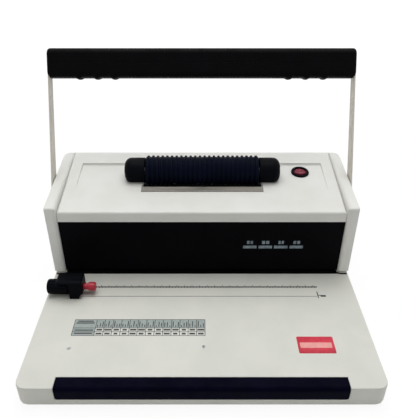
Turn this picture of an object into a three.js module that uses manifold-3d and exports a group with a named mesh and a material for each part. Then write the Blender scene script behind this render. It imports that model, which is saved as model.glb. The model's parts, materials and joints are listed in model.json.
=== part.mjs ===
// A tabletop binding machine for coil-bound books. Pulling the U-shaped handle forward turns a
// shaft whose pinions drive a row of punch pins down through a stack of paper on the table, and
// a motor-driven ribbed roller on top spins a plastic coil into the punched holes.
// Millimetres. X runs left to right, Y from the front edge to the rear, Z up. The finished
// group's origin is on the surface it stands on, under the middle of its bounding box.
import * as THREE from "three";
import { mergeVertices } from "three/addons/utils/BufferGeometryUtils.js";
import Module from "manifold-3d";

const wasm = await Module();
wasm.setup();

// Clearances
const seatGap = 0.3; // between two pieces that rest on each other
const runGap = 0.4; // around a piece that turns or slides
const overrun = 5; // how far a cut passes the face that it opens
const weld = 1; // how far solids that are joined reach into each other

// Facets
const roundSides = 16;
const pinSides = 6;
const arcSteps = 3;
const rimSteps = 2;
const leastRadiusShare = 0.1; // what an inset leaves of a corner's radius
const mergeDistance = 1e-4;

// Base
const baseWidth = 400;
const baseLength = 335;
const baseHeight = 26.6;
const baseWall = 2.5;
const baseCornerRadius = 12;
const baseEdgeRadius = 2;
const basePlateThickness = 1.5;
const borderDrop = 0.8; // the table's edge strip lies this far under its middle
const borderSide = 10;
const borderFront = 25;
const borderSlope = 3;
const footHeight = 4;
const footRadius = 8;
const footInset = 26; // foot centres, in from the base's edges
const footStemRadius = 2.8;
const footBarbRadius = 3.8;
const footBarbHeight = 2.4;
const footEdgeRadius = 1;

// Chip drawer
const drawerSideInset = 50; // of the tray, in from the base's sides
const drawerRearInset = 104.9; // the tray's rear end, in from the base's rear
const drawerHeight = 11;
const drawerWall = 1.6;
const drawerSill = 8.5; // strip of the base's front wall left under the drawer
const drawerFrontInset = 42.3; // of the drawer's front, in from the base's sides
const drawerFrontWall = 3;
const drawerFrontProud = 1.2; // ahead of the base's front face
const drawerTopDepth = 15; // how far the drawer's front wraps onto the table
const drawerTopProud = 0.3;
const drawerTopRadius = 5;
const drawerEndRadius = 5;
const drawerRearRadius = 2.5;
const drawerEdgeRadius = 1;
const runnerLedge = 6;
const runnerWall = 3;
const runnerRise = 8;
const runnerStart = 20;

// Body covers
const bodyDepth = 144;
const bodyRearInset = 2.4; // the side covers' rear edges, in from the base's rear
const coverFrontHeight = 131.1; // above the base's lower edge
const coverSlope = THREE.MathUtils.degToRad(5.94);
const coverThickness = 14.2;
const coverSkin = 3;
const coverRearRadius = 15;
const coverPlanRadius = 24; // of the body's two rear corners, seen from above
const coverCornerRadius = 3;
const coverEdgeRadius = 1.6;
const coverInnerRadius = 4.5; // of a side cover's front and top edges, next to the hood
const pocketSetback = 9; // solid strip along each side cover's front edge
const pocketMargin = 8;
const bossRadius = 5;
const coverScrewRadius = 1.9;
const coverScrewHeadRadius = 4;
const coverScrewHeadHeight = 2;
const coverScrewSink = 2.4;
const coverScrewFrontInset = 24; // screw places, in from the body's front and rear
const coverScrewRearInset = 32;
const coverScrewLowZ = 62;
const coverScrewHighZ = 100;
const throatHeight = 3.2; // gap that the paper slides into
const throatDepth = 24;
const lipSetback = 3.7; // top cover's front lip, behind the side covers' front edges
const lipHeight = 14.6;
const hoodFrontDrop = 7.8; // the hood's front edge, under the side covers' front corners
const hoodSlope = THREE.MathUtils.degToRad(9.625);
const hoodSkin = 2.5;
const hoodFrontRadius = 3;
const hoodRearRadius = 14;
const shoulderWidth = 5.6; // the hood's top is rounded off this far from each side cover
const shoulderDrop = 3;
const valleySteps = 4; // facets of each round edge where the hood meets a side cover
const panelThickness = 2.5;
const panelSetback = 0.5;
const ventCount = 9;
const ventWidth = 2.6;
const ventHeight = 34;
const ventPitch = 7;
const ventInset = 80.5; // middle of the vents, in from the hood's side

// Shallow recess in the top cover, deepest at its rear
const recessSideInset = 16.5; // in from the hood's sides
const recessReach = 31; // its front edge, ahead of the roller's axis
const recessLength = 60;
const recessDepth = 3;
const recessCornerRadius = 2;

// Frame
const frameThickness = 3;
const frameSetback = 5; // its rear edge, from the rear cover
const frameFlange = 14;
const frameFlangeStart = 24;
const frameFlangeRearInset = 18;
const tieRadius = 4;
const tieFrontInset = 4.8;
const tieFrontDrop = 10; // under the hood's front edge
const tieRearInset = 10;

// Handle
const pivotSetback = 43.4; // of the handle's axis, behind the body's front
const pivotZ = 81;
const handleLean = THREE.MathUtils.degToRad(25.3);
const handleReach = 214; // pivot to the middle of the grip
const armGap = 0.9; // between a side cover and an arm
const armThickness = 2.4;
const armHubRadius = 9.5;
const armTipRadius = 7;
const armTipSink = 12; // how far an arm ends past the grip's middle
const gripHeight = 38;
const gripDepth = 24;
const gripCornerRadius = 8;
const gripEndRadius = 4;
const fingerBumpShares = [0.57, 0.684, 0.8]; // out from the grip's middle, of its half length
const bumpRadius = 7.2;
const bumpProud = 1.8;
const shaftRadius = 5;
const squareWidth = 7; // squared shaft ends that carry the arms
const boltRadius = 2.2;
const boltDepth = 12;
const boltHeadRadius = 7;
const boltHeadHeight = 3.2;
const bushWall = 2.2;
const bushFlangeRadius = 10;
const bushFlangeThickness = 2.5;
const collarRadius = 10.5;
const collarWidth = 4;
const lugRadius = 16;
const lugStart = THREE.MathUtils.degToRad(-20);
const lugSweep = THREE.MathUtils.degToRad(60);
const stopPinRadius = 2.5;
const stopPinOrbit = 14;

// Punch drive and punch set
const gearModule = 1.25;
const pinionTeeth = 12;
const gearWidth = 8;
const gearInset = 13.2; // middle of each pinion and rack, in from the side frame
const toothAddendumShare = 0.75;
const toothDedendumShare = 1.1;
const toothTipShare = 0.2; // widths of a tooth, as shares of the pitch
const toothPitchShare = 0.38;
const toothRootShare = 0.52;
const stroke = 12.5;
const holePitch = 6.35;
const holeLineSetback = 17.4; // behind the body's front
const holeEndMargin = 22; // least distance from the last hole to the die's end
const pinRadius = 2;
const pinRestLift = 3.7; // pin tips at rest, above the throat
const holeRadius = 2.5;
const diePlateThickness = 4.9;
const dieWidth = 13;
const dieEndInset = 35; // in from the base's sides
const dieFlange = 4.5;
const dieFlangeThickness = 2.4;
const stripperThickness = 6;
const paperStopWidth = 3;
const beamThickness = 6.4;
const beamHeight = 24;
const beamRestZ = 52;
const beamEndInset = 7.2; // in from the side frames
const tongueThickness = 4.4;
const tongueHeight = 12;
const tongueRise = 6;
const rackRise = 4;

// Edge guide at the table's left
const guideAhead = 38.6; // of the body's front
const guideZ = 37.2;
const guideInset = 48; // its right face, in from the base's left side
const guideLength = 33;
const guideBlockLength = 17; // of it, under its roof; the knob fills the rest
const guideRoofThickness = 2.8;
const guideDepth = 25;
const guideHeight = 23.5;
const guideRadius = 5;
const guideFootInset = 5;
const guideFootHeight = 7;
const knobRadius = 10; // at its wide end, next to the guide
const knobEndTaper = 1.4; // narrower than that at its outer end
const knobLength = 29;
const knobFlutes = 14;
const knobFluteRadius = 1.1;
const knobEndRadius = 3;
const knobEdgeRadius = 1;
const knobCollarRadius = 7;
const knobCollarLength = 1.6;
const screwRadius = 2.4;
const screwBoreRadius = 2.8;
const screwLength = 14;
const stopRadius = 5.7;
const stopLength = 17;
const stopNeckRadius = 4.1;
const stopNeckLength = 7.7;
const stopStemWidth = 7;
const stopStemLength = 9;
const stopTravel = 1.5;
const stopBoreLength = 14;
const stopEndRadius = 1.5;

// Coil inserter on the top cover
const inserterX = 0.8; // its middle, right of the machine's middle
const rollerAhead = 66.6; // of the body's rear
const rollerRise = 8.895; // of its axis, over the hood
const ribCount = 24;
const ribPitch = 6.35;
const ribRadius = 19.5;
const grooveRadius = 17.6;
const ribFlatShare = 0.5; // a rib's flat top, as a share of the pitch
const rollerSides = 12;
const rollerShaftRadius = 4;
const rollerHubRadius = 4.5;
const housingRadius = 17;
const housingLength = 26;
const housingGap = 1.3;
const housingRound = 8;
const housingEdgeRadius = 1;
const housingEndWall = 5.5;
const rollerBushRadius = 7;
const rollerBushBore = 4.4;
const rollerBushLength = 5;
const pulleyCavityRadius = 13.2;
const wellLength = 160;
const wellDepth = 44;
const shelfLength = 163;
const shelfDepth = 11;
const shelfThickness = 1.4;
const shelfDrop = 8;
const shelfFold = 1.2;
const rollerPulleyRadius = 9;
const motorPulleyRadius = 6;
const pulleyWidth = 7;
const pulleyX = 87; // middle of the belt, from the inserter's middle
const beltWidth = 6;
const beltThickness = 1.5;
const motorPlaceShare = 0.35; // of the room between the handle's shaft and the rear tie
const motorDrop = 52.7; // of its axis, under the roller's
const motorRadius = 24;
const motorLength = 58;
const motorShaftRadius = 2.5;
const motorShaftSeat = 12;
const motorShaftHole = 4;
const bracketThickness = 3;
const bracketRim = 3; // over the motor
const bracketFoot = 30;

// Rocker switch
const switchPlaceShare = 0.5085; // of the way from the inserter to the recess's end
const switchSetback = 10.6; // behind the roller's axis
const switchRadius = 12.4;
const switchRim = 2;
const switchRimRadius = 1.2;
const switchBodyRadius = 10.6;
const switchBodyDepth = 13;
const rockerRadius = 8;
const rockerRise = 1.8;
const rockerDrop = 2;
const rockerCavityRadius = 8.7;
const rockerCavityDepth = 7;
const rockerTilt = THREE.MathUtils.degToRad(9);
const rockerPinRadius = 1.1;
const rockerPinLength = 19.4;

// Mains inlet at the rear
const inletInset = 53.5; // its middle, in from the hood's side
const inletZ = 52;
const inletWidth = 31;
const inletHeight = 24;
const inletCornerRadius = 3;
const inletFlange = 4;
const inletFlangeThickness = 2;
const inletDepth = 20;
const inletMouthWidth = 24.5;
const inletMouthHeight = 17;
const inletMouthDepth = 15;
const bladeWidth = 2;
const bladeHeight = 4;
const bladeLength = 10;
const bladeSpacing = 7;
const bladeRise = 2;

// Places that follow from the sizes above
const halfWidth = baseWidth / 2;
const bodyRear = baseLength - bodyRearInset;
const bodyFront = bodyRear - bodyDepth;
const hoodFrontHeight = coverFrontHeight - hoodFrontDrop;
const coverInner = halfWidth - coverThickness;
const insideHalf = coverInner - seatGap; // half width of the pieces between the side covers
const deck = baseHeight + seatGap; // what stands on the base starts here
const throatTop = baseHeight + throatHeight;
const lipFront = bodyFront + lipSetback;
const lipBottom = hoodFrontHeight - lipHeight;
const hoodRear = bodyRear - seatGap;
const panelFront = lipFront + panelSetback;
const panelRear = panelFront + panelThickness;
const frameFront = panelRear + seatGap;
const frameRear = hoodRear - panelThickness - frameSetback;
const frameOuter = insideHalf;
const frameInner = frameOuter - frameThickness;
const betweenFrames = frameInner - seatGap;
const pivotY = bodyFront + pivotSetback;
const holeLineY = bodyFront + holeLineSetback;
const tieRearY = frameRear - tieRearInset;
const sectionTop = (y) => hoodFrontHeight + (y - lipFront) * Math.tan(hoodSlope);
const coverTop = (y) => coverFrontHeight + (y - bodyFront) * Math.tan(coverSlope);
const hoodUnderside = (y) => sectionTop(y) - hoodSkin / Math.cos(hoodSlope) - seatGap;
const frameTop = (y) => hoodUnderside(y) - shoulderDrop;
const rollerY = bodyRear - rollerAhead;
const rollerZ = sectionTop(rollerY) + rollerRise;
const wellFront = rollerY - wellDepth / 2;
const recessHalf = insideHalf - recessSideInset;
const recessFront = rollerY - recessReach;
const recessRear = recessFront + recessLength;
const recessFloor = (y) => sectionTop(y) - (recessDepth * (y - recessFront)) / recessLength;
const recessTilt = Math.atan(Math.tan(hoodSlope) - recessDepth / recessLength);
const armInner = halfWidth + armGap;
const armOuter = armInner + armThickness;
const gearPitchRadius = (gearModule * pinionTeeth) / 2;
const toothPitch = Math.PI * gearModule;
const rackPitchY = pivotY - gearPitchRadius;
const gearX = frameInner - gearInset;
const dieHalf = halfWidth - dieEndInset;
const holeSteps = Math.floor((2 * (dieHalf - holeEndMargin)) / holePitch);
const beamFront = holeLineY - beamThickness / 2;
const beamRear = holeLineY + beamThickness / 2;
const rollerHalf = (ribCount * ribPitch) / 2;
const housingInner = rollerHalf + housingGap;
const housingOuter = housingInner + housingLength;
const inserterEnd = inserterX + housingOuter;
const switchX = inserterEnd + (recessHalf - inserterEnd) * switchPlaceShare;
const switchY = rollerY + switchSetback;
const motorFrontLimit = pivotY + shaftRadius;
const motorRearLimit = tieRearY - tieRadius;
const motorRoom = motorRearLimit - motorFrontLimit - 2 * motorRadius;
const motorY = motorFrontLimit + motorRadius + motorPlaceShare * motorRoom;
const motorZ = rollerZ - motorDrop;
const inletX = insideHalf - inletInset;
const ventCentreX = ventInset - insideHalf;
const guideRight = guideInset - halfWidth;
const guideY = bodyFront - guideAhead;
const drawerHalf = halfWidth - drawerSideInset;
const drawerFrontHalf = halfWidth - drawerFrontInset;

const paints = {
  lightPaint: { color: 0xdedcd6, roughness: 0.5, metalness: 0 },
  greyPaint: { color: 0xbfbdb8, roughness: 0.5, metalness: 0 },
  blackPlastic: { color: 0x101114, roughness: 0.4, metalness: 0 },
  blackPaint: { color: 0x0a0a0d, roughness: 0.45, metalness: 0 },
  redPlastic: { color: 0xb02038, roughness: 0.35, metalness: 0 },
  steel: { color: 0x9a9c9e, roughness: 0.35, metalness: 1 },
  toolSteel: { color: 0x77797c, roughness: 0.3, metalness: 1 },
  bronze: { color: 0xa8834a, roughness: 0.4, metalness: 1 },
  rubber: { color: 0x17191d, roughness: 0.8, metalness: 0 },
  armPaint: { color: 0xb8b4aa, roughness: 0.4, metalness: 0 },
};

// Turns a closed geometry into a solid that can be joined and cut.
function solidOf(geometry) {
  const bare = geometry.clone();
  bare.deleteAttribute("normal");
  bare.deleteAttribute("uv");
  const merged = mergeVertices(bare, mergeDistance);
  const corners = merged.index.array;
  const faces = [];
  for (let i = 0; i < corners.length; i += 3) {
    const [a, b, c] = [corners[i], corners[i + 1], corners[i + 2]];
    if (a !== b && b !== c && c !== a) faces.push(a, b, c);
  }
  return new wasm.Manifold(
    new wasm.Mesh({
      numProp: 3,
      vertProperties: new Float32Array(merged.attributes.position.array),
      triVerts: new Uint32Array(faces),
    }),
  );
}

function geometryOf(solid) {
  const mesh = solid.getMesh();
  const positions = new Float32Array(mesh.numVert * 3);
  for (let i = 0; i < mesh.numVert; i++) {
    const start = i * mesh.numProp;
    positions.set(mesh.vertProperties.subarray(start, start + 3), i * 3);
  }
  const shared = new THREE.BufferGeometry();
  shared.setAttribute("position", new THREE.BufferAttribute(positions, 3));
  shared.setIndex(new THREE.BufferAttribute(new Uint32Array(mesh.triVerts), 1));
  const flat = shared.toNonIndexed();
  flat.computeVertexNormals();
  return flat;
}

const join = (first, ...others) => others.reduce((sum, other) => sum.add(other), first);
const cut = (body, ...tools) => tools.reduce((rest, tool) => rest.subtract(tool), body);

function piece(parent, name, solid, paint) {
  const mesh = new THREE.Mesh(geometryOf(solid), new THREE.MeshStandardMaterial(paint));
  mesh.name = name;
  parent.add(mesh);
  return mesh;
}

// Adds a right-hand piece and its mirror image on the left.
function pair(parent, name, solid, paint) {
  piece(parent, `${name}_right`, solid, paint);
  piece(parent, `${name}_left`, solid, paint).scale.x = -1;
}

function group(parent, place = [0, 0, 0], tilt = 0) {
  const made = new THREE.Group();
  made.position.set(...place);
  made.rotation.x = tilt;
  parent.add(made);
  return made;
}

// A block between low and high values along X, Y and Z.
function block([x0, x1], [y0, y1], [z0, z1]) {
  const box = new THREE.BoxGeometry(x1 - x0, y1 - y0, z1 - z0);
  return solidOf(box.translate((x0 + x1) / 2, (y0 + y1) / 2, (z0 + z1) / 2));
}

// A polygon's outline, its corners given anticlockwise as [a, b, radius], each side moved in.
function roundedOutline(corners, inset) {
  const points = [];
  corners.forEach(([a, b, radius = 0], i) => {
    const here = new THREE.Vector2(a, b);
    const [beforeA, beforeB] = corners[(i + corners.length - 1) % corners.length];
    const [afterA, afterB] = corners[(i + 1) % corners.length];
    const arriving = here.clone().sub(new THREE.Vector2(beforeA, beforeB)).normalize();
    const leaving = new THREE.Vector2(afterA, afterB).sub(here).normalize();
    const inwards = new THREE.Vector2(-arriving.y, arriving.x);
    const nextInwards = new THREE.Vector2(-leaving.y, leaving.x);
    const shift = inset / (1 + inwards.dot(nextInwards));
    const corner = here.clone().addScaledVector(inwards.clone().add(nextInwards), shift);
    if (!radius) {
      points.push(corner);
      return;
    }
    const turn = arriving.cross(leaving);
    const least = radius * leastRadiusShare;
    const arc = turn > 0 ? Math.max(radius - inset, least) : radius + inset;
    const angle = Math.atan2(turn, arriving.dot(leaving));
    const start = corner.clone().addScaledVector(arriving, -arc * Math.tan(Math.abs(angle) / 2));
    const centre = start.clone().addScaledVector(inwards, Math.sign(turn) * arc);
    for (let k = 0; k <= arcSteps; k++)
      points.push(start.clone().rotateAround(centre, (angle * k) / arcSteps));
  });
  return points;
}

const polygon = (...corners) => (inset) => roundedOutline(corners, inset);

const rectangle = ([a0, a1], [b0, b1], radius = 0) =>
  polygon([a0, b0, radius], [a1, b0, radius], [a1, b1, radius], [a0, b1, radius]);

function arcPoints([a, b], radius, from, to, steps) {
  return Array.from({ length: steps + 1 }, (_, i) => {
    const angle = from + ((to - from) * i) / steps;
    return new THREE.Vector2(a + radius * Math.cos(angle), b + radius * Math.sin(angle));
  });
}

const disc = (centre, radius, sides = roundSides) => (inset) =>
  arcPoints(centre, radius - inset, 0, 2 * Math.PI, sides).slice(0, sides);

// A band drawn tight round two circles: a tapered bar, or the path of a belt.
const wrapped = ([a0, b0], r0, [a1, b1], r1) => (inset) => {
  const heading = Math.atan2(b1 - b0, a1 - a0);
  const spread = Math.acos((r0 - r1) / Math.hypot(a1 - a0, b1 - b0));
  const half = roundSides / 2;
  const far = arcPoints([a1, b1], r1 - inset, heading - spread, heading + spread, half);
  const nearEnd = heading + 2 * Math.PI - spread;
  return [...far, ...arcPoints([a0, b0], r0 - inset, heading + spread, nearEnd, half)];
};

// The belt's way round both pulleys, this much outside them.
const beltPath = (extra) =>
  wrapped([rollerY, rollerZ], rollerPulleyRadius + extra, [motorY, motorZ],
    motorPulleyRadius + extra);

const placements = {
  x: (a, b, at) => [at, a, b],
  y: (a, b, at) => [a, at, b],
  z: (a, b, at) => [a, b, at],
};

// Joins outlines of equal length, one at each station along an axis, into a closed solid.
function loft(axis, outlines, stations) {
  const first = outlines[0];
  const last = (outlines.length - 1) * first.length;
  const positions = outlines.flatMap((outline, i) =>
    outline.flatMap((p) => placements[axis](p.x, p.y, stations[i])),
  );
  const faces = [];
  const turn = Math.sign(THREE.ShapeUtils.area(first));
  for (const [a, b, c] of THREE.ShapeUtils.triangulateShape([...first], [])) {
    const same = Math.sign(THREE.ShapeUtils.area([first[a], first[b], first[c]])) === turn;
    const [p, q, r] = same ? [a, b, c] : [a, c, b];
    faces.push([r, q, p], [p + last, q + last, r + last]);
  }
  for (let i = 0; i + 1 < outlines.length; i++)
    for (let j = 0; j < first.length; j++) {
      const next = (j + 1) % first.length;
      const [near, far] = [i * first.length, (i + 1) * first.length];
      faces.push([near + j, near + next, far + next], [near + j, far + next, far + j]);
    }
  const outwards = axis === "y" ? -turn : turn;
  const index = faces.flatMap(([a, b, c]) => (outwards > 0 ? [a, b, c] : [c, b, a]));
  const skin = new THREE.BufferGeometry();
  skin.setAttribute("position", new THREE.Float32BufferAttribute(positions, 3));
  skin.setIndex(index);
  return solidOf(skin);
}

// A shape carried along an axis, with its start and end rims rounded.
function prism(axis, shape, [from, to], [startRound, endRound] = [0, 0], steps = rimSteps) {
  const stations = [];
  const insets = [];
  for (let k = startRound ? 0 : steps; k <= steps; k++) {
    const angle = (k / steps) * (Math.PI / 2);
    stations.push(from + startRound * (1 - Math.cos(angle)));
    insets.push(startRound * (1 - Math.sin(angle)));
  }
  for (let k = 0; k <= (endRound ? steps : 0); k++) {
    const angle = (k / steps) * (Math.PI / 2);
    stations.push(to - endRound * (1 - Math.sin(angle)));
    insets.push(endRound * (1 - Math.cos(angle)));
  }
  return loft(axis, insets.map(shape), stations);
}

// A solid of revolution about X, its profile given as [x, radius] from axis to axis.
function turned(profile, sides = roundSides) {
  const points = profile.map(([x, radius]) => new THREE.Vector2(radius, x));
  return solidOf(new THREE.LatheGeometry(points, sides).rotateZ(-Math.PI / 2));
}

const round = (axis, radius, span, centre = [0, 0], sides = roundSides) =>
  prism(axis, disc(centre, radius, sides), span);

function makeBase(parent) {
  const across = [-halfWidth, halfWidth];
  const plan = rectangle(across, [0, baseLength], baseCornerRadius);
  const inner = halfWidth - baseWall;
  const hollow = rectangle([-inner, inner], [baseWall, baseLength - baseWall], baseCornerRadius);
  const borderLevel = baseHeight - borderDrop;
  const borderEnd = (bodyFront + lipFront) / 2;
  const middle = (inset) =>
    roundedOutline(
      [
        [-halfWidth + borderSide, borderFront, baseCornerRadius],
        [halfWidth - borderSide, borderFront, baseCornerRadius],
        [halfWidth - borderSide, borderEnd + overrun],
        [-halfWidth + borderSide, borderEnd + overrun],
      ],
      inset,
    );
  const border = cut(
    block([-halfWidth - overrun, halfWidth + overrun], [-overrun, borderEnd],
      [borderLevel, baseHeight + overrun]),
    loft("z", [middle(0), middle(borderSlope), middle(borderSlope)],
      [borderLevel, baseHeight, baseHeight + overrun]),
  );
  const mouthHalf = drawerFrontHalf + runGap;
  const slotHalf = dieHalf + seatGap;
  const tableCover = cut(
    prism("z", plan, [0, baseHeight], [0, baseEdgeRadius]),
    prism("z", hollow, [-overrun, baseHeight - baseWall]),
    border,
    block([-mouthHalf, mouthHalf], [-overrun, drawerTopDepth + runGap],
      [drawerSill, baseHeight + overrun]),
    block([-slotHalf, slotHalf],
      [holeLineY - dieWidth / 2 - seatGap, holeLineY + dieWidth / 2 + seatGap],
      [0, baseHeight + overrun]),
  );
  piece(parent, "table_cover", tableCover, paints.lightPaint);

  const footX = halfWidth - footInset;
  const footYs = [footInset, baseLength - footInset];
  const corners = footYs.flatMap((y) => [[-footX, y], [footX, y]]);
  const plateHalf = inner - seatGap;
  const plate = prism(
    "z",
    rectangle([-plateHalf, plateHalf],
      [baseWall + seatGap, baseLength - baseWall - seatGap], baseCornerRadius),
    [0, basePlateThickness],
  );
  const stemHoles = corners.map((centre) =>
    round("z", footStemRadius + seatGap, [-overrun, overrun], centre));
  piece(parent, "base_plate", cut(plate, ...stemHoles), paints.greyPaint);

  const barbBottom = basePlateThickness + seatGap;
  ["front_left", "front_right", "rear_left", "rear_right"].forEach((name, i) => {
    const foot = join(
      prism("z", disc(corners[i], footRadius), [-footHeight, -seatGap], [footEdgeRadius, 0]),
      round("z", footStemRadius, [-footHeight / 2, barbBottom + footBarbHeight / 2], corners[i]),
      round("z", footBarbRadius, [barbBottom, barbBottom + footBarbHeight], corners[i]),
    );
    piece(parent, `foot_${name}`, foot, paints.rubber);
  });
}

function makeDrawer(parent) {
  const floor = drawerSill + runGap * 2;
  const half = drawerHalf;
  const front = drawerFrontWall - drawerFrontProud + seatGap;
  const rear = baseLength - drawerRearInset;
  const tray = cut(
    block([-half, half], [front, rear], [floor, floor + drawerHeight]),
    block([-half + drawerWall, half - drawerWall], [front + drawerWall, rear - drawerWall],
      [floor + drawerWall, floor + drawerHeight + overrun]),
  );
  piece(parent, "chip_drawer", tray, paints.greyPaint);

  const frontHalf = drawerFrontHalf;
  const bottom = drawerSill + runGap;
  const top = baseHeight + drawerTopProud;
  const inside = drawerFrontWall - drawerFrontProud;
  const section = polygon(
    [-drawerFrontProud, bottom, drawerFrontProud],
    [inside, bottom],
    [inside, top - drawerFrontWall, drawerTopRadius - drawerFrontWall],
    [drawerTopDepth, top - drawerFrontWall],
    [drawerTopDepth, top, drawerFrontProud],
    [-drawerFrontProud, top, drawerTopRadius],
  );
  const seenFromFront = polygon(
    [-frontHalf, bottom, drawerEndRadius],
    [frontHalf, bottom, drawerEndRadius],
    [frontHalf, top + overrun],
    [-frontHalf, top + overrun],
  );
  const seenFromAbove = polygon(
    [-frontHalf, -overrun],
    [frontHalf, -overrun],
    [frontHalf, drawerTopDepth, drawerRearRadius],
    [-frontHalf, drawerTopDepth, drawerRearRadius],
  );
  const drawerFront = prism("x", section, [-frontHalf, frontHalf],
    [drawerEdgeRadius, drawerEdgeRadius])
    .intersect(prism("y", seenFromFront, [-overrun, drawerTopDepth + overrun]))
    .intersect(prism("z", seenFromAbove, [-overrun, top + overrun]));
  piece(parent, "drawer_front", drawerFront, paints.blackPlastic);

  const wallInner = half + runGap;
  const runner = join(
    block([wallInner - runnerLedge, wallInner + runnerWall],
      [runnerStart, rear], [basePlateThickness + seatGap, floor - seatGap]),
    block([wallInner, wallInner + runnerWall],
      [runnerStart, rear], [basePlateThickness + seatGap, floor + runnerRise]),
  );
  return { runner };
}

const screwPlaces = [
  [bodyFront + coverScrewFrontInset, coverScrewLowZ],
  [bodyRear - coverScrewRearInset, coverScrewHighZ],
];

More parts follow.
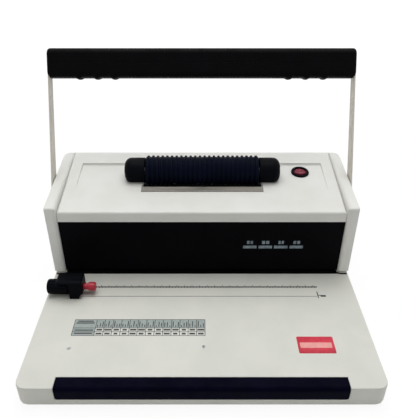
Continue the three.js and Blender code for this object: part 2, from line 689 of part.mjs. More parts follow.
function makeCovers(parent) {
  const side = polygon(
    [bodyFront, throatTop, coverEdgeRadius],
    [bodyFront + throatDepth, throatTop, coverEdgeRadius],
    [bodyFront + throatDepth, deck, coverEdgeRadius / 2],
    [bodyRear, deck, coverCornerRadius],
    [bodyRear, coverTop(bodyRear), coverRearRadius],
    [bodyFront, coverFrontHeight, coverCornerRadius],
  );
  const pocketBottom = throatTop + coverSkin;
  const pocketRear = bodyRear - coverPlanRadius;
  const pocketFront = bodyFront + pocketSetback;
  const pocket = polygon(
    [pocketFront, pocketBottom, coverCornerRadius],
    [pocketRear, pocketBottom, coverCornerRadius],
    [pocketRear, sectionTop(pocketRear) - pocketMargin, coverRearRadius],
    [pocketFront, sectionTop(pocketFront) - pocketMargin, coverCornerRadius],
  );
  const skinInner = halfWidth - coverSkin;
  const bosses = screwPlaces.map((centre) =>
    round("x", bossRadius, [coverInner, halfWidth - coverSkin / 2], centre));
  const screwHoles = screwPlaces.flatMap((centre) => [
    round("x", coverScrewRadius + seatGap, [coverInner - overrun, halfWidth + overrun], centre),
    round("x", coverScrewHeadRadius + runGap, [halfWidth - coverScrewSink, halfWidth + overrun],
      centre),
  ]);
  const seenFromAbove = prism(
    "z",
    polygon(
      [-halfWidth, bodyFront],
      [halfWidth, bodyFront],
      [halfWidth, bodyRear, coverPlanRadius],
      [-halfWidth, bodyRear, coverPlanRadius],
    ),
    [0, coverTop(bodyRear)],
  );
  const beyond = bodyRear + 2 * overrun;
  const frontAndTop = polygon(
    [bodyFront, -2 * overrun],
    [beyond, -2 * overrun],
    [beyond, coverTop(beyond)],
    [bodyFront, coverFrontHeight, coverCornerRadius],
  );
  const innerEdges = prism("x", frontAndTop, [coverInner, halfWidth + overrun],
    [coverInnerRadius, 0], valleySteps);
  const sideCover = cut(
    join(
      cut(
        prism("x", side, [coverInner, halfWidth], [0, coverEdgeRadius])
          .intersect(seenFromAbove)
          .intersect(innerEdges),
        prism("x", pocket, [coverInner - overrun, skinInner]),
      ),
      ...bosses,
    ),
    ...screwHoles,
    round("x", shaftRadius + 4 * runGap, [coverInner - overrun, halfWidth + overrun],
      [pivotY, pivotZ]),
  );
  pair(parent, "side_cover", sideCover, paints.lightPaint);

  screwPlaces.forEach((centre, i) => {
    const headInner = halfWidth - coverScrewSink + seatGap;
    const screw = join(
      prism("x", disc(centre, coverScrewHeadRadius),
        [headInner, headInner + coverScrewHeadHeight - seatGap], [0, coverScrewHeadHeight / 2]),
      round("x", coverScrewRadius, [frameInner - seatGap, headInner + seatGap], centre),
    );
    pair(parent, `cover_screw_${["front", "rear"][i]}`, screw, paints.steel);
  });

  const hoodDownTo = (bottom) =>
    polygon(
      [lipFront, bottom],
      [hoodRear, bottom],
      [hoodRear, sectionTop(hoodRear), hoodRearRadius],
      [lipFront, hoodFrontHeight, hoodFrontRadius],
    );
  const hollow = (inset) => hoodDownTo(lipBottom - 2 * overrun)(hoodSkin + inset);
  const wide = insideHalf + overrun;
  const whole = prism("x", hoodDownTo(lipBottom), [-insideHalf, insideHalf]);
  const sheet = cut(whole, prism("x", hollow, [-wide, wide]));
  const panHalf = recessHalf + hoodSkin;
  const panRear = recessRear + hoodSkin;
  const pan = prism(
    "x",
    polygon(
      [recessFront, sectionTop(recessFront) - hoodSkin],
      [panRear, recessFloor(panRear) - hoodSkin],
      [panRear, sectionTop(panRear) - seatGap],
      [recessFront, sectionTop(recessFront) - seatGap],
    ),
    [-panHalf, panHalf],
  );
  const recess = prism(
    "x",
    polygon(
      [recessFront, sectionTop(recessFront)],
      [recessRear, recessFloor(recessRear), recessCornerRadius],
      [recessRear, sectionTop(recessRear) + overrun],
      [recessFront, sectionTop(recessFront) + overrun],
    ),
    [-recessHalf, recessHalf],
  );
  const shoulderInner = insideHalf - shoulderWidth;
  const bandUnder = (y) => frameTop(y) + seatGap;
  const bandOutline = polygon(
    [lipFront, bandUnder(lipFront)],
    [hoodRear, bandUnder(hoodRear)],
    [hoodRear, sectionTop(hoodRear)],
    [lipFront, hoodFrontHeight],
  );
  const bands = [1, -1].map((hand) => {
    const span = [hand * (shoulderInner - hoodSkin), hand * insideHalf].sort((a, b) => a - b);
    return prism("x", bandOutline, span).intersect(whole);
  });
  const shoulder = (hand, y) => {
    const level = sectionTop(y);
    const curve = arcPoints([0, 0], 1, Math.PI / 2, 0, valleySteps).map((p) =>
      new THREE.Vector2(shoulderInner + p.x * shoulderWidth, level - (1 - p.y) * shoulderDrop));
    const outline = [
      new THREE.Vector2(shoulderInner, level + overrun),
      ...curve,
      new THREE.Vector2(insideHalf + overrun, level - shoulderDrop),
      new THREE.Vector2(insideHalf + overrun, level + overrun),
    ];
    return outline.map((p) => new THREE.Vector2(hand * p.x, p.y));
  };
  const shoulderEnds = [lipFront - overrun, hoodRear + overrun];
  const shoulders = [1, -1].map((hand) =>
    loft("y", shoulderEnds.map((y) => shoulder(hand, y)), shoulderEnds));
  const beltHalf = pulleyWidth / 2 + runGap * 4;
  const beltSlot = prism("x", beltPath(beltThickness + runGap * 4),
    [inserterX + pulleyX - beltHalf, inserterX + pulleyX + beltHalf]);
  const switchHole = prism("z", disc([0, 0], switchBodyRadius + seatGap), [-overrun * 2, overrun]);
  const wellHalf = wellLength / 2;
  const hood = cut(
    join(sheet, pan, ...bands),
    recess,
    block([inserterX - wellHalf, inserterX + wellHalf], [wellFront, wellFront + wellDepth],
      [lipBottom, rollerZ]),
    beltSlot,
    placed(switchHole, [switchX, switchY, recessFloor(switchY)], recessTilt),
    ...shoulders,
  );
  piece(parent, "top_cover", hood.intersect(seenFromAbove), paints.lightPaint);

  const panelTop = lipBottom - seatGap;
  const panel = prism("y",
    rectangle([-insideHalf, insideHalf], [throatTop, panelTop], panelThickness / 4),
    [panelFront, panelRear], [panelThickness / 4, 0]);
  piece(parent, "front_panel", panel, paints.blackPaint);

  const rearFront = hoodRear - panelThickness;
  const vents = Array.from({ length: ventCount }, (_, i) => {
    const x = ventCentreX + (i - (ventCount - 1) / 2) * ventPitch;
    return prism("y",
      rectangle([x - ventWidth / 2, x + ventWidth / 2],
        [inletZ - ventHeight / 2, inletZ + ventHeight / 2]),
      [rearFront - overrun, hoodRear + overrun]);
  });
  const inletHole = prism("y", inletShape(-seatGap), [rearFront - overrun, hoodRear + overrun]);
  const rear = prism("y",
    rectangle([-insideHalf, insideHalf], [deck, panelTop], panelThickness / 4),
    [rearFront, hoodRear], [0, panelThickness / 4]);
  piece(parent, "rear_cover", cut(rear, ...vents, inletHole).intersect(seenFromAbove),
    paints.lightPaint);
}

// A solid moved to a place after a turn about X.
function placed(solid, place, tilt = 0) {
  return solidOf(geometryOf(solid).rotateX(tilt).translate(...place));
}

const inletShape = (extra) => (inset) => {
  const [w, h] = [inletWidth / 2 - extra, inletHeight / 2 - extra];
  return rectangle([inletX - w, inletX + w], [inletZ - h, inletZ + h], inletCornerRadius)(inset);
};

function makeInlet(parent) {
  const [mw, mh] = [inletMouthWidth / 2, inletMouthHeight / 2];
  const face = hoodRear + seatGap + inletFlangeThickness;
  const mouth = prism("y",
    rectangle([inletX - mw, inletX + mw], [inletZ - mh, inletZ + mh], inletCornerRadius / 2),
    [face - inletMouthDepth, face + overrun]);
  const body = join(
    prism("y", inletShape(0), [hoodRear - inletDepth, face - inletFlangeThickness / 2]),
    prism("y", inletShape(-inletFlange), [face - inletFlangeThickness, face],
      [0, inletFlangeThickness / 2]),
  );
  const blades = [[-bladeSpacing, 0], [bladeSpacing, 0], [0, bladeRise]].map(([dx, dz]) =>
    block([inletX + dx - bladeWidth / 2, inletX + dx + bladeWidth / 2],
      [face - inletMouthDepth - weld, face - inletMouthDepth + bladeLength],
      [inletZ + dz + bladeRise / 2, inletZ + dz + bladeRise / 2 + bladeHeight]));
  piece(parent, "mains_inlet", join(cut(body, mouth), ...blades), paints.blackPlastic);
}

function makeFrame(parent) {
  const outline = polygon(
    [frameFront, deck],
    [frameRear, deck],
    [frameRear, frameTop(frameRear), hoodRearRadius],
    [frameFront, frameTop(frameFront)],
  );
  const tongueY = [holeLineY - tongueThickness / 2 - runGap, holeLineY + tongueThickness / 2 + runGap];
  const tongueLow = beamRestZ + tongueRise - stroke - 2 * runGap;
  const tongueTop = beamRestZ + tongueRise + tongueHeight + 2 * runGap;
  const through = [frameInner - overrun, frameOuter + overrun];
  const flangeFront = frameFront + frameFlangeStart;
  const side = cut(
    join(
      prism("x", outline, [frameInner, frameOuter]),
      block([frameInner - frameFlange, frameInner + frameThickness / 2],
        [flangeFront, frameRear - frameFlangeRearInset], [deck, deck + frameThickness]),
    ),
    block(through, tongueY, [tongueLow, tongueTop]),
    round("x", shaftRadius + runGap + bushWall + seatGap, through, [pivotY, pivotZ]),
    ...screwPlaces.map((centre) => round("x", coverScrewRadius + seatGap, through, centre)),
  );
  pair(parent, "side_frame", side, paints.steel);

  const ties = {
    tie_front: [frameFront + tieFrontInset, hoodFrontHeight - tieFrontDrop],
    tie_rear: [tieRearY, lipBottom],
  };
  for (const [name, centre] of Object.entries(ties))
    piece(parent, name, round("x", tieRadius, [-betweenFrames, betweenFrames], centre), paints.steel);
}

// The outline of a tooth as [offset along the pitch line, height over it], widest at its root.
const toothPoints = [
  [-toothRootShare / 2, -toothDedendumShare],
  [-toothPitchShare / 2, 0],
  [-toothTipShare / 2, toothAddendumShare],
  [toothTipShare / 2, toothAddendumShare],
  [toothPitchShare / 2, 0],
  [toothRootShare / 2, -toothDedendumShare],
].map(([along, height]) => [along * toothPitch, height * gearModule]);

function makePunch(parent) {
  const places = Array.from({ length: holeSteps + 1 }, (_, i) => (i - holeSteps / 2) * holePitch);
  const holesBetween = (low, high) =>
    places.map((x) =>
      round("z", holeRadius, [low - overrun, high + overrun], [x, holeLineY], pinSides));
  const [front, rear] = [holeLineY - dieWidth / 2, holeLineY + dieWidth / 2];
  const dieTop = baseHeight - seatGap;
  const dieBottom = dieTop - diePlateThickness;
  const die = join(
    block([-dieHalf, dieHalf], [front, rear], [dieBottom, dieTop]),
    block([-dieHalf, dieHalf], [front - dieFlange, rear + dieFlange],
      [dieBottom, baseHeight - baseWall - seatGap]),
  );
  piece(parent, "die_plate", cut(die, ...holesBetween(dieBottom, dieTop)), paints.toolSteel);

  const stripperTop = throatTop + stripperThickness;
  const stripper = block([-betweenFrames, betweenFrames], [front, rear], [throatTop, stripperTop]);
  piece(parent, "stripper_plate", cut(stripper, ...holesBetween(throatTop, stripperTop)),
    paints.toolSteel);
  piece(parent, "paper_stop",
    block([-betweenFrames, betweenFrames], [rear - paperStopWidth, rear],
      [deck, throatTop - seatGap]),
    paints.steel);

  const beamHalf = frameInner - beamEndInset;
  const pinTip = throatTop + pinRestLift;
  const beam = block([-beamHalf, beamHalf], [beamFront, beamRear], [beamRestZ, beamRestZ + beamHeight]);
  const tongues = block([-frameOuter + seatGap, frameOuter - seatGap],
    [holeLineY - tongueThickness / 2, holeLineY + tongueThickness / 2],
    [beamRestZ + tongueRise, beamRestZ + tongueRise + tongueHeight]);
  const pins = places.map((x) =>
    round("z", pinRadius, [pinTip, beamRestZ + pinRadius], [x, holeLineY], pinSides));
  piece(parent, "punch_beam", join(beam, tongues, ...pins), paints.toolSteel);

  const rackBottom = beamRestZ + rackRise;
  const rackTeeth = Math.ceil((pivotZ + stroke - beamRestZ) / toothPitch);
  const firstTooth = pivotZ - toothPitch;
  const rackTop = firstTooth + rackTeeth * toothPitch;
  const rackRoot = rackPitchY - toothDedendumShare * gearModule;
  const rackFront = beamRear + seatGap;
  const rackOutline = [[rackFront, rackBottom], [rackRoot, rackBottom]];
  for (let i = 0; i < rackTeeth; i++)
    for (const [along, height] of toothPoints)
      rackOutline.push([rackPitchY + height, firstTooth + i * toothPitch + along]);
  rackOutline.push([rackRoot, rackTop], [rackFront, rackTop]);
  const rackSpan = [gearX - gearWidth / 2, gearX + gearWidth / 2];
  const rack = prism("x", polygon(...rackOutline), rackSpan);
  pair(parent, "rack", rack, paints.toolSteel);
}

function makeHandle(parent) {
  const shaftEnd = armInner - seatGap;
  const tilted = group(parent, [0, pivotY, pivotZ], -handleLean);
  const squareHalf = squareWidth / 2;
  const full = armOuter + seatGap;
  const boltHole = round("x", boltRadius + seatGap, [full - boltDepth - seatGap, full + overrun]);
  const boltHoleLeft = round("x", boltRadius + seatGap,
    [-full - overrun, -full + boltDepth + seatGap]);
  const shaft = cut(
    join(
      round("x", shaftRadius, [-shaftEnd, shaftEnd]),
      block([-full, full], [-squareHalf, squareHalf], [-squareHalf, squareHalf]),
    ),
    boltHole,
    boltHoleLeft,
  );
  piece(tilted, "handle_shaft", shaft, paints.steel);

  const squareHole = squareHalf + seatGap;
  const arm = cut(
    prism("x", wrapped([0, 0], armHubRadius, [0, handleReach + armTipSink - armTipRadius],
      armTipRadius), [armInner, armOuter], [armThickness / 6, armThickness / 6]),
    block([armInner - overrun, armOuter + overrun], [-squareHole, squareHole],
      [-squareHole, squareHole]),
  );
  pair(tilted, "handle_arm", arm, paints.armPaint);

  const bolt = join(
    round("x", boltRadius, [full - boltDepth, full + boltHeadHeight / 2]),
    prism("x", disc([0, 0], boltHeadRadius), [full + seatGap, full + seatGap + boltHeadHeight],
      [0, boltHeadHeight / 2]),
  );
  pair(tilted, "pivot_bolt", bolt, paints.steel);

  const gripHalf = armOuter;
  const [low, high] = [handleReach - gripHeight / 2, handleReach + gripHeight / 2];
  const bar = prism("x",
    rectangle([-gripDepth / 2, gripDepth / 2], [low, high], gripCornerRadius),
    [-gripHalf, gripHalf], [gripEndRadius, gripEndRadius]);
  const bumpY = [-gripDepth / 2 + gripCornerRadius / 2, gripDepth / 2 - gripCornerRadius / 2];
  const bumps = fingerBumpShares.flatMap((share) => [-share * gripHalf, share * gripHalf]).map((x) =>
    round("y", bumpRadius, bumpY, [x, low - bumpProud + bumpRadius], roundSides));
  const slotHalf = armTipRadius + 2 * runGap; // the arms end in slots that are open at the grip's ends
  const slots = [1, -1].map((hand) => {
    const span = [hand * (armInner - seatGap), hand * (gripHalf + overrun)].sort((a, b) => a - b);
    return block(span, [-slotHalf, slotHalf],
      [low - bumpProud - overrun, handleReach + armTipSink + seatGap]);
  });
  piece(tilted, "handle_grip", cut(join(bar, ...bumps), ...slots), paints.blackPlastic);

  const pinionRoot = gearPitchRadius - toothDedendumShare * gearModule;
  const teeth = Array.from({ length: pinionTeeth }, (_, i) => {
    const middle = Math.PI + handleLean + ((i + 0.5) * 2 * Math.PI) / pinionTeeth;
    return toothPoints.slice().reverse().map(([along, height]) => {
      const radius = gearPitchRadius + height;
      const angle = middle - along / gearPitchRadius;
      return new THREE.Vector2(radius * Math.cos(angle), radius * Math.sin(angle));
    });
  }).flat();
  const gearSpan = [gearX - gearWidth / 2, gearX + gearWidth / 2];
  const pinion = cut(
    join(prism("x", () => teeth, gearSpan), round("x", pinionRoot, gearSpan)),
    round("x", shaftRadius + seatGap, [gearX - gearWidth, gearX + gearWidth]),
  );
  pair(tilted, "pinion", pinion, paints.toolSteel);

  const bushInner = shaftRadius + runGap;
  const bushOuter = bushInner + bushWall;
  const flangeEnd = betweenFrames - bushFlangeThickness;
  const bush = cut(
    join(
      round("x", bushOuter, [betweenFrames - bushFlangeThickness / 2, frameOuter], [pivotY, pivotZ]),
      round("x", bushFlangeRadius, [flangeEnd, betweenFrames], [pivotY, pivotZ]),
    ),
    round("x", bushInner, [flangeEnd - overrun, frameOuter + overrun], [pivotY, pivotZ]),
  );
  pair(parent, "shaft_bush", bush, paints.bronze);

  const collarEnd = flangeEnd - seatGap;
  const collarSpan = [collarEnd - collarWidth, collarEnd];
  const lugTurn = lugStart + handleLean;
  const lugArc = arcPoints([0, 0], lugRadius, lugTurn, lugTurn + lugSweep, roundSides / 4);
  const lug = prism("x", () => [new THREE.Vector2(0, 0), ...lugArc], collarSpan);
  const collar = cut(join(round("x", collarRadius, collarSpan), lug),
    round("x", shaftRadius + seatGap, [collarEnd - collarWidth - overrun, collarEnd + overrun]));
  piece(tilted, "stop_collar", collar, paints.steel);

  const pinAngle = lugStart - (stopPinRadius + seatGap) / stopPinOrbit;
  const pinPlace = [pivotY + stopPinOrbit * Math.cos(pinAngle),
    pivotZ + stopPinOrbit * Math.sin(pinAngle)];
  piece(parent, "stop_pin",
    round("x", stopPinRadius, [collarEnd - collarWidth, betweenFrames], pinPlace), paints.steel);
}

function makeGuide(parent) {
  const left = guideRight - guideLength;
  const [front, rear] = [guideY - guideDepth / 2, guideY + guideDepth / 2];
  const top = deck + guideHeight;
  const outline = polygon([front, deck], [rear, deck], [rear, top, guideRadius],
    [front, top, guideRadius]);
  const axis = [guideY, guideZ];
  const stemHalf = stopStemWidth / 2 + runGap;
  const sink = stopTravel * 2 + runGap;
  const blockLeft = guideRight - guideBlockLength;
  const across = [front - overrun, rear + overrun];
  const body = cut(
    prism("x", outline, [left, guideRight], [guideRadius / 2, guideRadius / 2]),
    block([left - overrun, blockLeft], across, [deck - overrun, top - guideRoofThickness]),
    round("x", screwBoreRadius, [left - overrun, guideRight], axis),
    block([guideRight - sink - stopStemLength - stopTravel - runGap, guideRight],
      [guideY - stemHalf, guideY + stemHalf], [guideZ - stemHalf, guideZ + stemHalf]),
    round("x", stopNeckRadius + runGap, [guideRight - sink, guideRight + overrun], axis),
    block([guideRight - guideFootInset, guideRight + overrun], across,
      [deck - overrun, deck + guideFootHeight]),
  );
  piece(parent, "guide_body", body, paints.blackPlastic);

  const knobRight = blockLeft - seatGap;
  const knobLeft = knobRight - knobLength;
  const narrow = knobRadius - knobEndTaper;
  const fluteEnds = [knobLeft, knobRight - knobCollarLength * 2];
  const flutes = Array.from({ length: knobFlutes }, (_, i) => {
    const angle = (2 * Math.PI * i) / knobFlutes;
    const outlines = [narrow, knobRadius].map((radius) => {
      const centre = [guideY + radius * Math.cos(angle), guideZ + radius * Math.sin(angle)];
      return disc(centre, knobFluteRadius, pinSides)(0);
    });
    return loft("x", outlines, fluteEnds);
  });
  const wideEnd = knobRight - knobCollarLength;
  const knobStations = [knobLeft, knobLeft + knobEndRadius / 3, knobLeft + knobEndRadius,
    wideEnd - knobEdgeRadius, wideEnd];
  const knobRadii = [narrow - knobEndRadius, narrow - knobEndRadius / 3, narrow, knobRadius,
    knobRadius - knobEdgeRadius];
  const knob = join(
    cut(loft("x", knobRadii.map((radius) => disc(axis, radius)(0)), knobStations), ...flutes),
    round("x", knobCollarRadius, [knobRight - 2 * knobCollarLength, knobRight], axis),
    round("x", screwRadius, [knobRight - knobCollarLength, knobRight + screwLength], axis),
  );
  piece(parent, "guide_knob", knob, paints.blackPlastic);

  const headLeft = guideRight - sink + stopTravel + runGap / 2;
  const stemLeft = headLeft - stopStemLength;
  const stem = stopStemWidth / 2;
  const stop = cut(
    join(
      prism("x", disc(axis, stopRadius), [headLeft + stopNeckLength, headLeft + stopLength],
        [stopEndRadius / 2, stopEndRadius]),
      round("x", stopNeckRadius, [headLeft, headLeft + stopNeckLength + weld], axis),
      block([stemLeft, headLeft + weld], [guideY - stem, guideY + stem], [guideZ - stem, guideZ + stem]),
    ),
    round("x", screwBoreRadius, [stemLeft - overrun, stemLeft + stopBoreLength], axis),
  );
  piece(parent, "guide_stop", stop, paints.redPlastic);
}

function makeInserter(parent) {
  const axle = [rollerY, rollerZ];
  const place = group(parent, [inserterX, 0, 0]);
  const profile = [[-rollerHalf, rollerHubRadius]];
  const flat = (ribFlatShare * ribPitch) / 2;
  for (let i = 0; i < ribCount; i++) {
    const middle = -rollerHalf + (i + 1 / 2) * ribPitch;
    if (i) profile.push([middle - ribPitch / 2, grooveRadius]);
    profile.push([middle - flat, ribRadius], [middle + flat, ribRadius]);
  }
  profile.splice(1, 0, [-rollerHalf, grooveRadius]);
  profile.push([rollerHalf, grooveRadius], [rollerHalf, rollerHubRadius], profile[0]);
  const roller = group(place, [0, ...axle]);
  piece(roller, "inserter_roller", turned(profile, rollerSides), paints.rubber);

  const wallInner = housingOuter - housingEndWall;
  const shaftHalf = wallInner + rollerBushLength - 2 * runGap;
  piece(roller, "roller_shaft", round("x", rollerShaftRadius, [-shaftHalf, shaftHalf]), paints.steel);

  const under = polygon(
    [recessFront, recessFloor(recessFront) - 2 * overrun],
    [recessRear, recessFloor(recessRear) - 2 * overrun],
    [recessRear, recessFloor(recessRear) + seatGap],
    [recessFront, recessFloor(recessFront) + seatGap],
  );
  const keepOff = prism("x", under, [housingInner - overrun, housingOuter + overrun]);
  const beltHalf = pulleyWidth / 2 + runGap * 3;
  const beltSlot = prism("x", beltPath(beltThickness + runGap * 4),
    [pulleyX - beltHalf, pulleyX + beltHalf]);
  const housing = cut(
    prism("x", disc(axle, housingRadius), [housingInner, housingOuter],
      [housingEdgeRadius, housingRound]),
    round("x", rollerBushRadius + seatGap, [wallInner - weld, wallInner + rollerBushLength - runGap],
      axle),
    round("x", pulleyCavityRadius, [housingInner - overrun, wallInner], axle),
    keepOff,
  );
  piece(place, "inserter_housing_right", cut(housing, beltSlot), paints.blackPlastic);
  piece(place, "inserter_housing_left", housing, paints.blackPlastic).scale.x = -1;

  const bushFlat = wallInner + seatGap;
  const bush = cut(
    round("x", rollerBushRadius, [bushFlat, wallInner + rollerBushLength - runGap - seatGap], axle),
    round("x", rollerBushBore, [wallInner - overrun, housingOuter + overrun], axle),
  );
  pair(place, "roller_bush", bush, paints.bronze);

  const pulleySpan = [pulleyX - pulleyWidth / 2, pulleyX + pulleyWidth / 2];
  piece(place, "roller_pulley",
    cut(round("x", rollerPulleyRadius, pulleySpan, axle),
      round("x", rollerHubRadius, [pulleyX - pulleyWidth, pulleyX + pulleyWidth], axle)),
    paints.blackPlastic);
  const motorAxle = [motorY, motorZ];
  const beltSpan = [pulleyX - beltWidth / 2, pulleyX + beltWidth / 2];
  piece(place, "drive_belt",
    cut(prism("x", beltPath(runGap + beltThickness), beltSpan),
      prism("x", beltPath(runGap), [beltSpan[0] - overrun, beltSpan[1] + overrun])),
    paints.rubber);

  const bracketRight = pulleySpan[0] - 2 * runGap;
  const bracketLeft = bracketRight - bracketThickness;
  const motorEnd = bracketLeft - seatGap;
  const bore = motorShaftRadius + seatGap;
  piece(place, "motor_pulley",
    cut(round("x", motorPulleyRadius, pulleySpan, motorAxle),
      round("x", bore, [pulleySpan[0] - overrun, pulleySpan[1] + overrun], motorAxle)),
    paints.blackPlastic);
  piece(place, "motor_shaft",
    round("x", motorShaftRadius, [motorEnd - motorShaftSeat, pulleySpan[1]], motorAxle),
    paints.steel);
  piece(place, "motor_body",
    cut(prism("x", disc(motorAxle, motorRadius), [motorEnd - motorLength, motorEnd],
      [bracketThickness, 0]),
      round("x", motorShaftRadius + runGap, [motorEnd - motorShaftSeat - seatGap, motorEnd + overrun],
        motorAxle)),
    paints.blackPaint);
  const bracketY = [motorY - motorRadius, motorY + motorRadius];
  piece(place, "motor_bracket",
    cut(
      join(
        block([bracketLeft, bracketRight], bracketY, [deck, motorZ + motorRadius + bracketRim]),
        block([bracketRight - bracketFoot, bracketRight], bracketY, [deck, deck + bracketThickness]),
      ),
      round("x", motorShaftHole, [bracketLeft - overrun, bracketRight + overrun], motorAxle),
    ),
    paints.steel);

  const shelfHalf = shelfLength / 2;
  const shelfRear = wellFront + seatGap + shelfFold;
  const shelfFrontY = shelfRear - shelfDepth;
  const lift = (y) => sectionTop(y) + seatGap;
  const strip = polygon(
    [shelfFrontY, lift(shelfFrontY)],
    [wellFront + seatGap, lift(wellFront + seatGap)],
    [wellFront + seatGap, lift(wellFront) - shelfDrop],
    [shelfRear, lift(shelfRear) - shelfDrop],
    [shelfRear, lift(shelfRear) + shelfThickness, shelfFold / 2],
    [shelfFrontY, lift(shelfFrontY) + shelfThickness, shelfFold / 2],
  );
  const foldHalf = wellLength / 2 - 2 * seatGap;
  const ends = [1, -1].map((hand) => {
    const span = [hand * foldHalf, hand * (shelfHalf + overrun)].sort((a, b) => a - b);
    return block(span, [wellFront - overrun, shelfRear + overrun],
      [lift(wellFront) - shelfDrop - overrun, lift(wellFront)]);
  });
  piece(place, "shelf_plate", cut(prism("x", strip, [-shelfHalf, shelfHalf]), ...ends), paints.steel);
}

function makeSwitch(parent) {
  const place = group(parent, [switchX, switchY, recessFloor(switchY) + seatGap], recessTilt);
  const top = switchRim;
  const pinHalf = rockerPinLength / 2;
  const pivotDrop = rockerPinRadius + 2 * seatGap; // the rocker's pin runs under the rim's top
  const pinZ = top - pivotDrop;
  const rim = cut(
    join(
      prism("z", disc([0, 0], switchRadius), [0, top], [0, switchRimRadius]),
      round("z", switchBodyRadius, [-switchBodyDepth, top / 2]),
    ),
    round("z", rockerCavityRadius, [top - rockerCavityDepth, top + overrun]),
    round("x", rockerPinRadius + seatGap, [-pinHalf - seatGap, pinHalf + seatGap], [0, pinZ]),
  );
  piece(place, "switch_bezel", rim, paints.blackPlastic);

  const rocker = join(
    prism("z", disc([0, 0], rockerRadius), [-rockerDrop, rockerRise], [0, rockerRise / 2]),
    round("x", rockerPinRadius, [-pinHalf, pinHalf]),
  );
  const tilted = group(place, [0, 0, pinZ], -rockerTilt);
  piece(tilted, "switch_rocker", rocker, paints.redPlastic);
}

const machine = new THREE.Group();
const onFeet = group(machine, [0, 0, footHeight]);
makeBase(onFeet);
pair(onFeet, "drawer_runner", makeDrawer(onFeet).runner, paints.steel);
makeCovers(onFeet);
makeInlet(onFeet);
makeFrame(onFeet);
makePunch(onFeet);
makeHandle(onFeet);
makeGuide(onFeet);
makeInserter(onFeet);
makeSwitch(onFeet);

machine.updateMatrixWorld(true);
const bounds = new THREE.Box3().setFromObject(machine, true);
onFeet.position.y -= (bounds.min.y + bounds.max.y) / 2;
onFeet.position.x -= (bounds.min.x + bounds.max.x) / 2;

export default machine;
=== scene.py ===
"""Looks of a tabletop coil binding machine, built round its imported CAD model.

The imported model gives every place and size. Each sub-assembly is a class that
replaces its plain solids with finer meshes, or dresses the solids as they are.
Sizes inside the classes are in millimetres, and meshes are made in metres.
"""

from __future__ import annotations

import json
import logging
import math
from dataclasses import dataclass
from enum import Enum
from typing import Iterable, Sequence

import bmesh
import bpy
from mathutils import Matrix, Vector


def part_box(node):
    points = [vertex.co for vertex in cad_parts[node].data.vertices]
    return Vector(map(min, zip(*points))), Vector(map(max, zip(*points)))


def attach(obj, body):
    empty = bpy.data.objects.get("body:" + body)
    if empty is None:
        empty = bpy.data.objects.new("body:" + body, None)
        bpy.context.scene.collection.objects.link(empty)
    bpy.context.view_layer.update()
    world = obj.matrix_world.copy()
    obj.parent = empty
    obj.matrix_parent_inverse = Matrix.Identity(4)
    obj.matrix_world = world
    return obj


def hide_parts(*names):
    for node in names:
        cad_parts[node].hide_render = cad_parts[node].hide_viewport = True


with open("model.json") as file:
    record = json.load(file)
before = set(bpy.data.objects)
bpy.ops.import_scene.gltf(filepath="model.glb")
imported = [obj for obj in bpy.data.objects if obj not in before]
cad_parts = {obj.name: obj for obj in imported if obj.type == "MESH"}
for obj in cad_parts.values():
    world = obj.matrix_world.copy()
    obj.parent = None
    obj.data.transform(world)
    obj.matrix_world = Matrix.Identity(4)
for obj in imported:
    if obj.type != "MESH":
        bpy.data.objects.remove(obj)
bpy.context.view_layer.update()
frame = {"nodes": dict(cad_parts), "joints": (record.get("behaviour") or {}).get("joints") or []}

MM = 0.001
TINY = 1e-4
SAME_POINT = 1e-7
CORNER_REACH = 1e-6
FLAT_ANGLE = 0.3
SHARP_ANGLE = 40.0
FACE_WEIGHT = 70
PHOTO_WIDTH = 401
PHOTO_HEIGHT = 418
log = logging.getLogger("binding_machine")

Flat = tuple[float, float]
Point = tuple[float, float, float]
Strip = tuple[float, float, float, float]
Colour = tuple[float, float, float, float]

WHITE: Colour = (1.0, 1.0, 1.0, 1.0)


class Body(Enum):
    """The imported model's bodies that the finer pieces are set on."""

    BASE = "base"
    HANDLE = "handle"
    ROLLER = "roller"
    ROCKER = "rocker"
    KNOB = "guide_screw"
    STOP = "guide_slider"


class Side(Enum):
    """The machine's two sides, with the sign of their X."""

    LEFT = -1
    RIGHT = 1

    @property
    def word(self) -> str:
        """The side's name, as it ends a piece's name."""
        return self.name.lower()


def linear(code: str) -> Colour:
    """Turns a colour as seen on a screen into the shader's own values.

    Args:
        code: six hexadecimal digits.

    Returns:
        Red, green, blue and alpha, linear.
    """
    shares = [int(code[i : i + 2], 16) / 255 for i in (0, 2, 4)]
    bent = [s / 12.92 if s <= 0.04045 else ((s + 0.055) / 1.055) ** 2.4 for s in shares]
    return (bent[0], bent[1], bent[2], 1.0)


# --------------------------------------------------------------------------
# Shader nodes


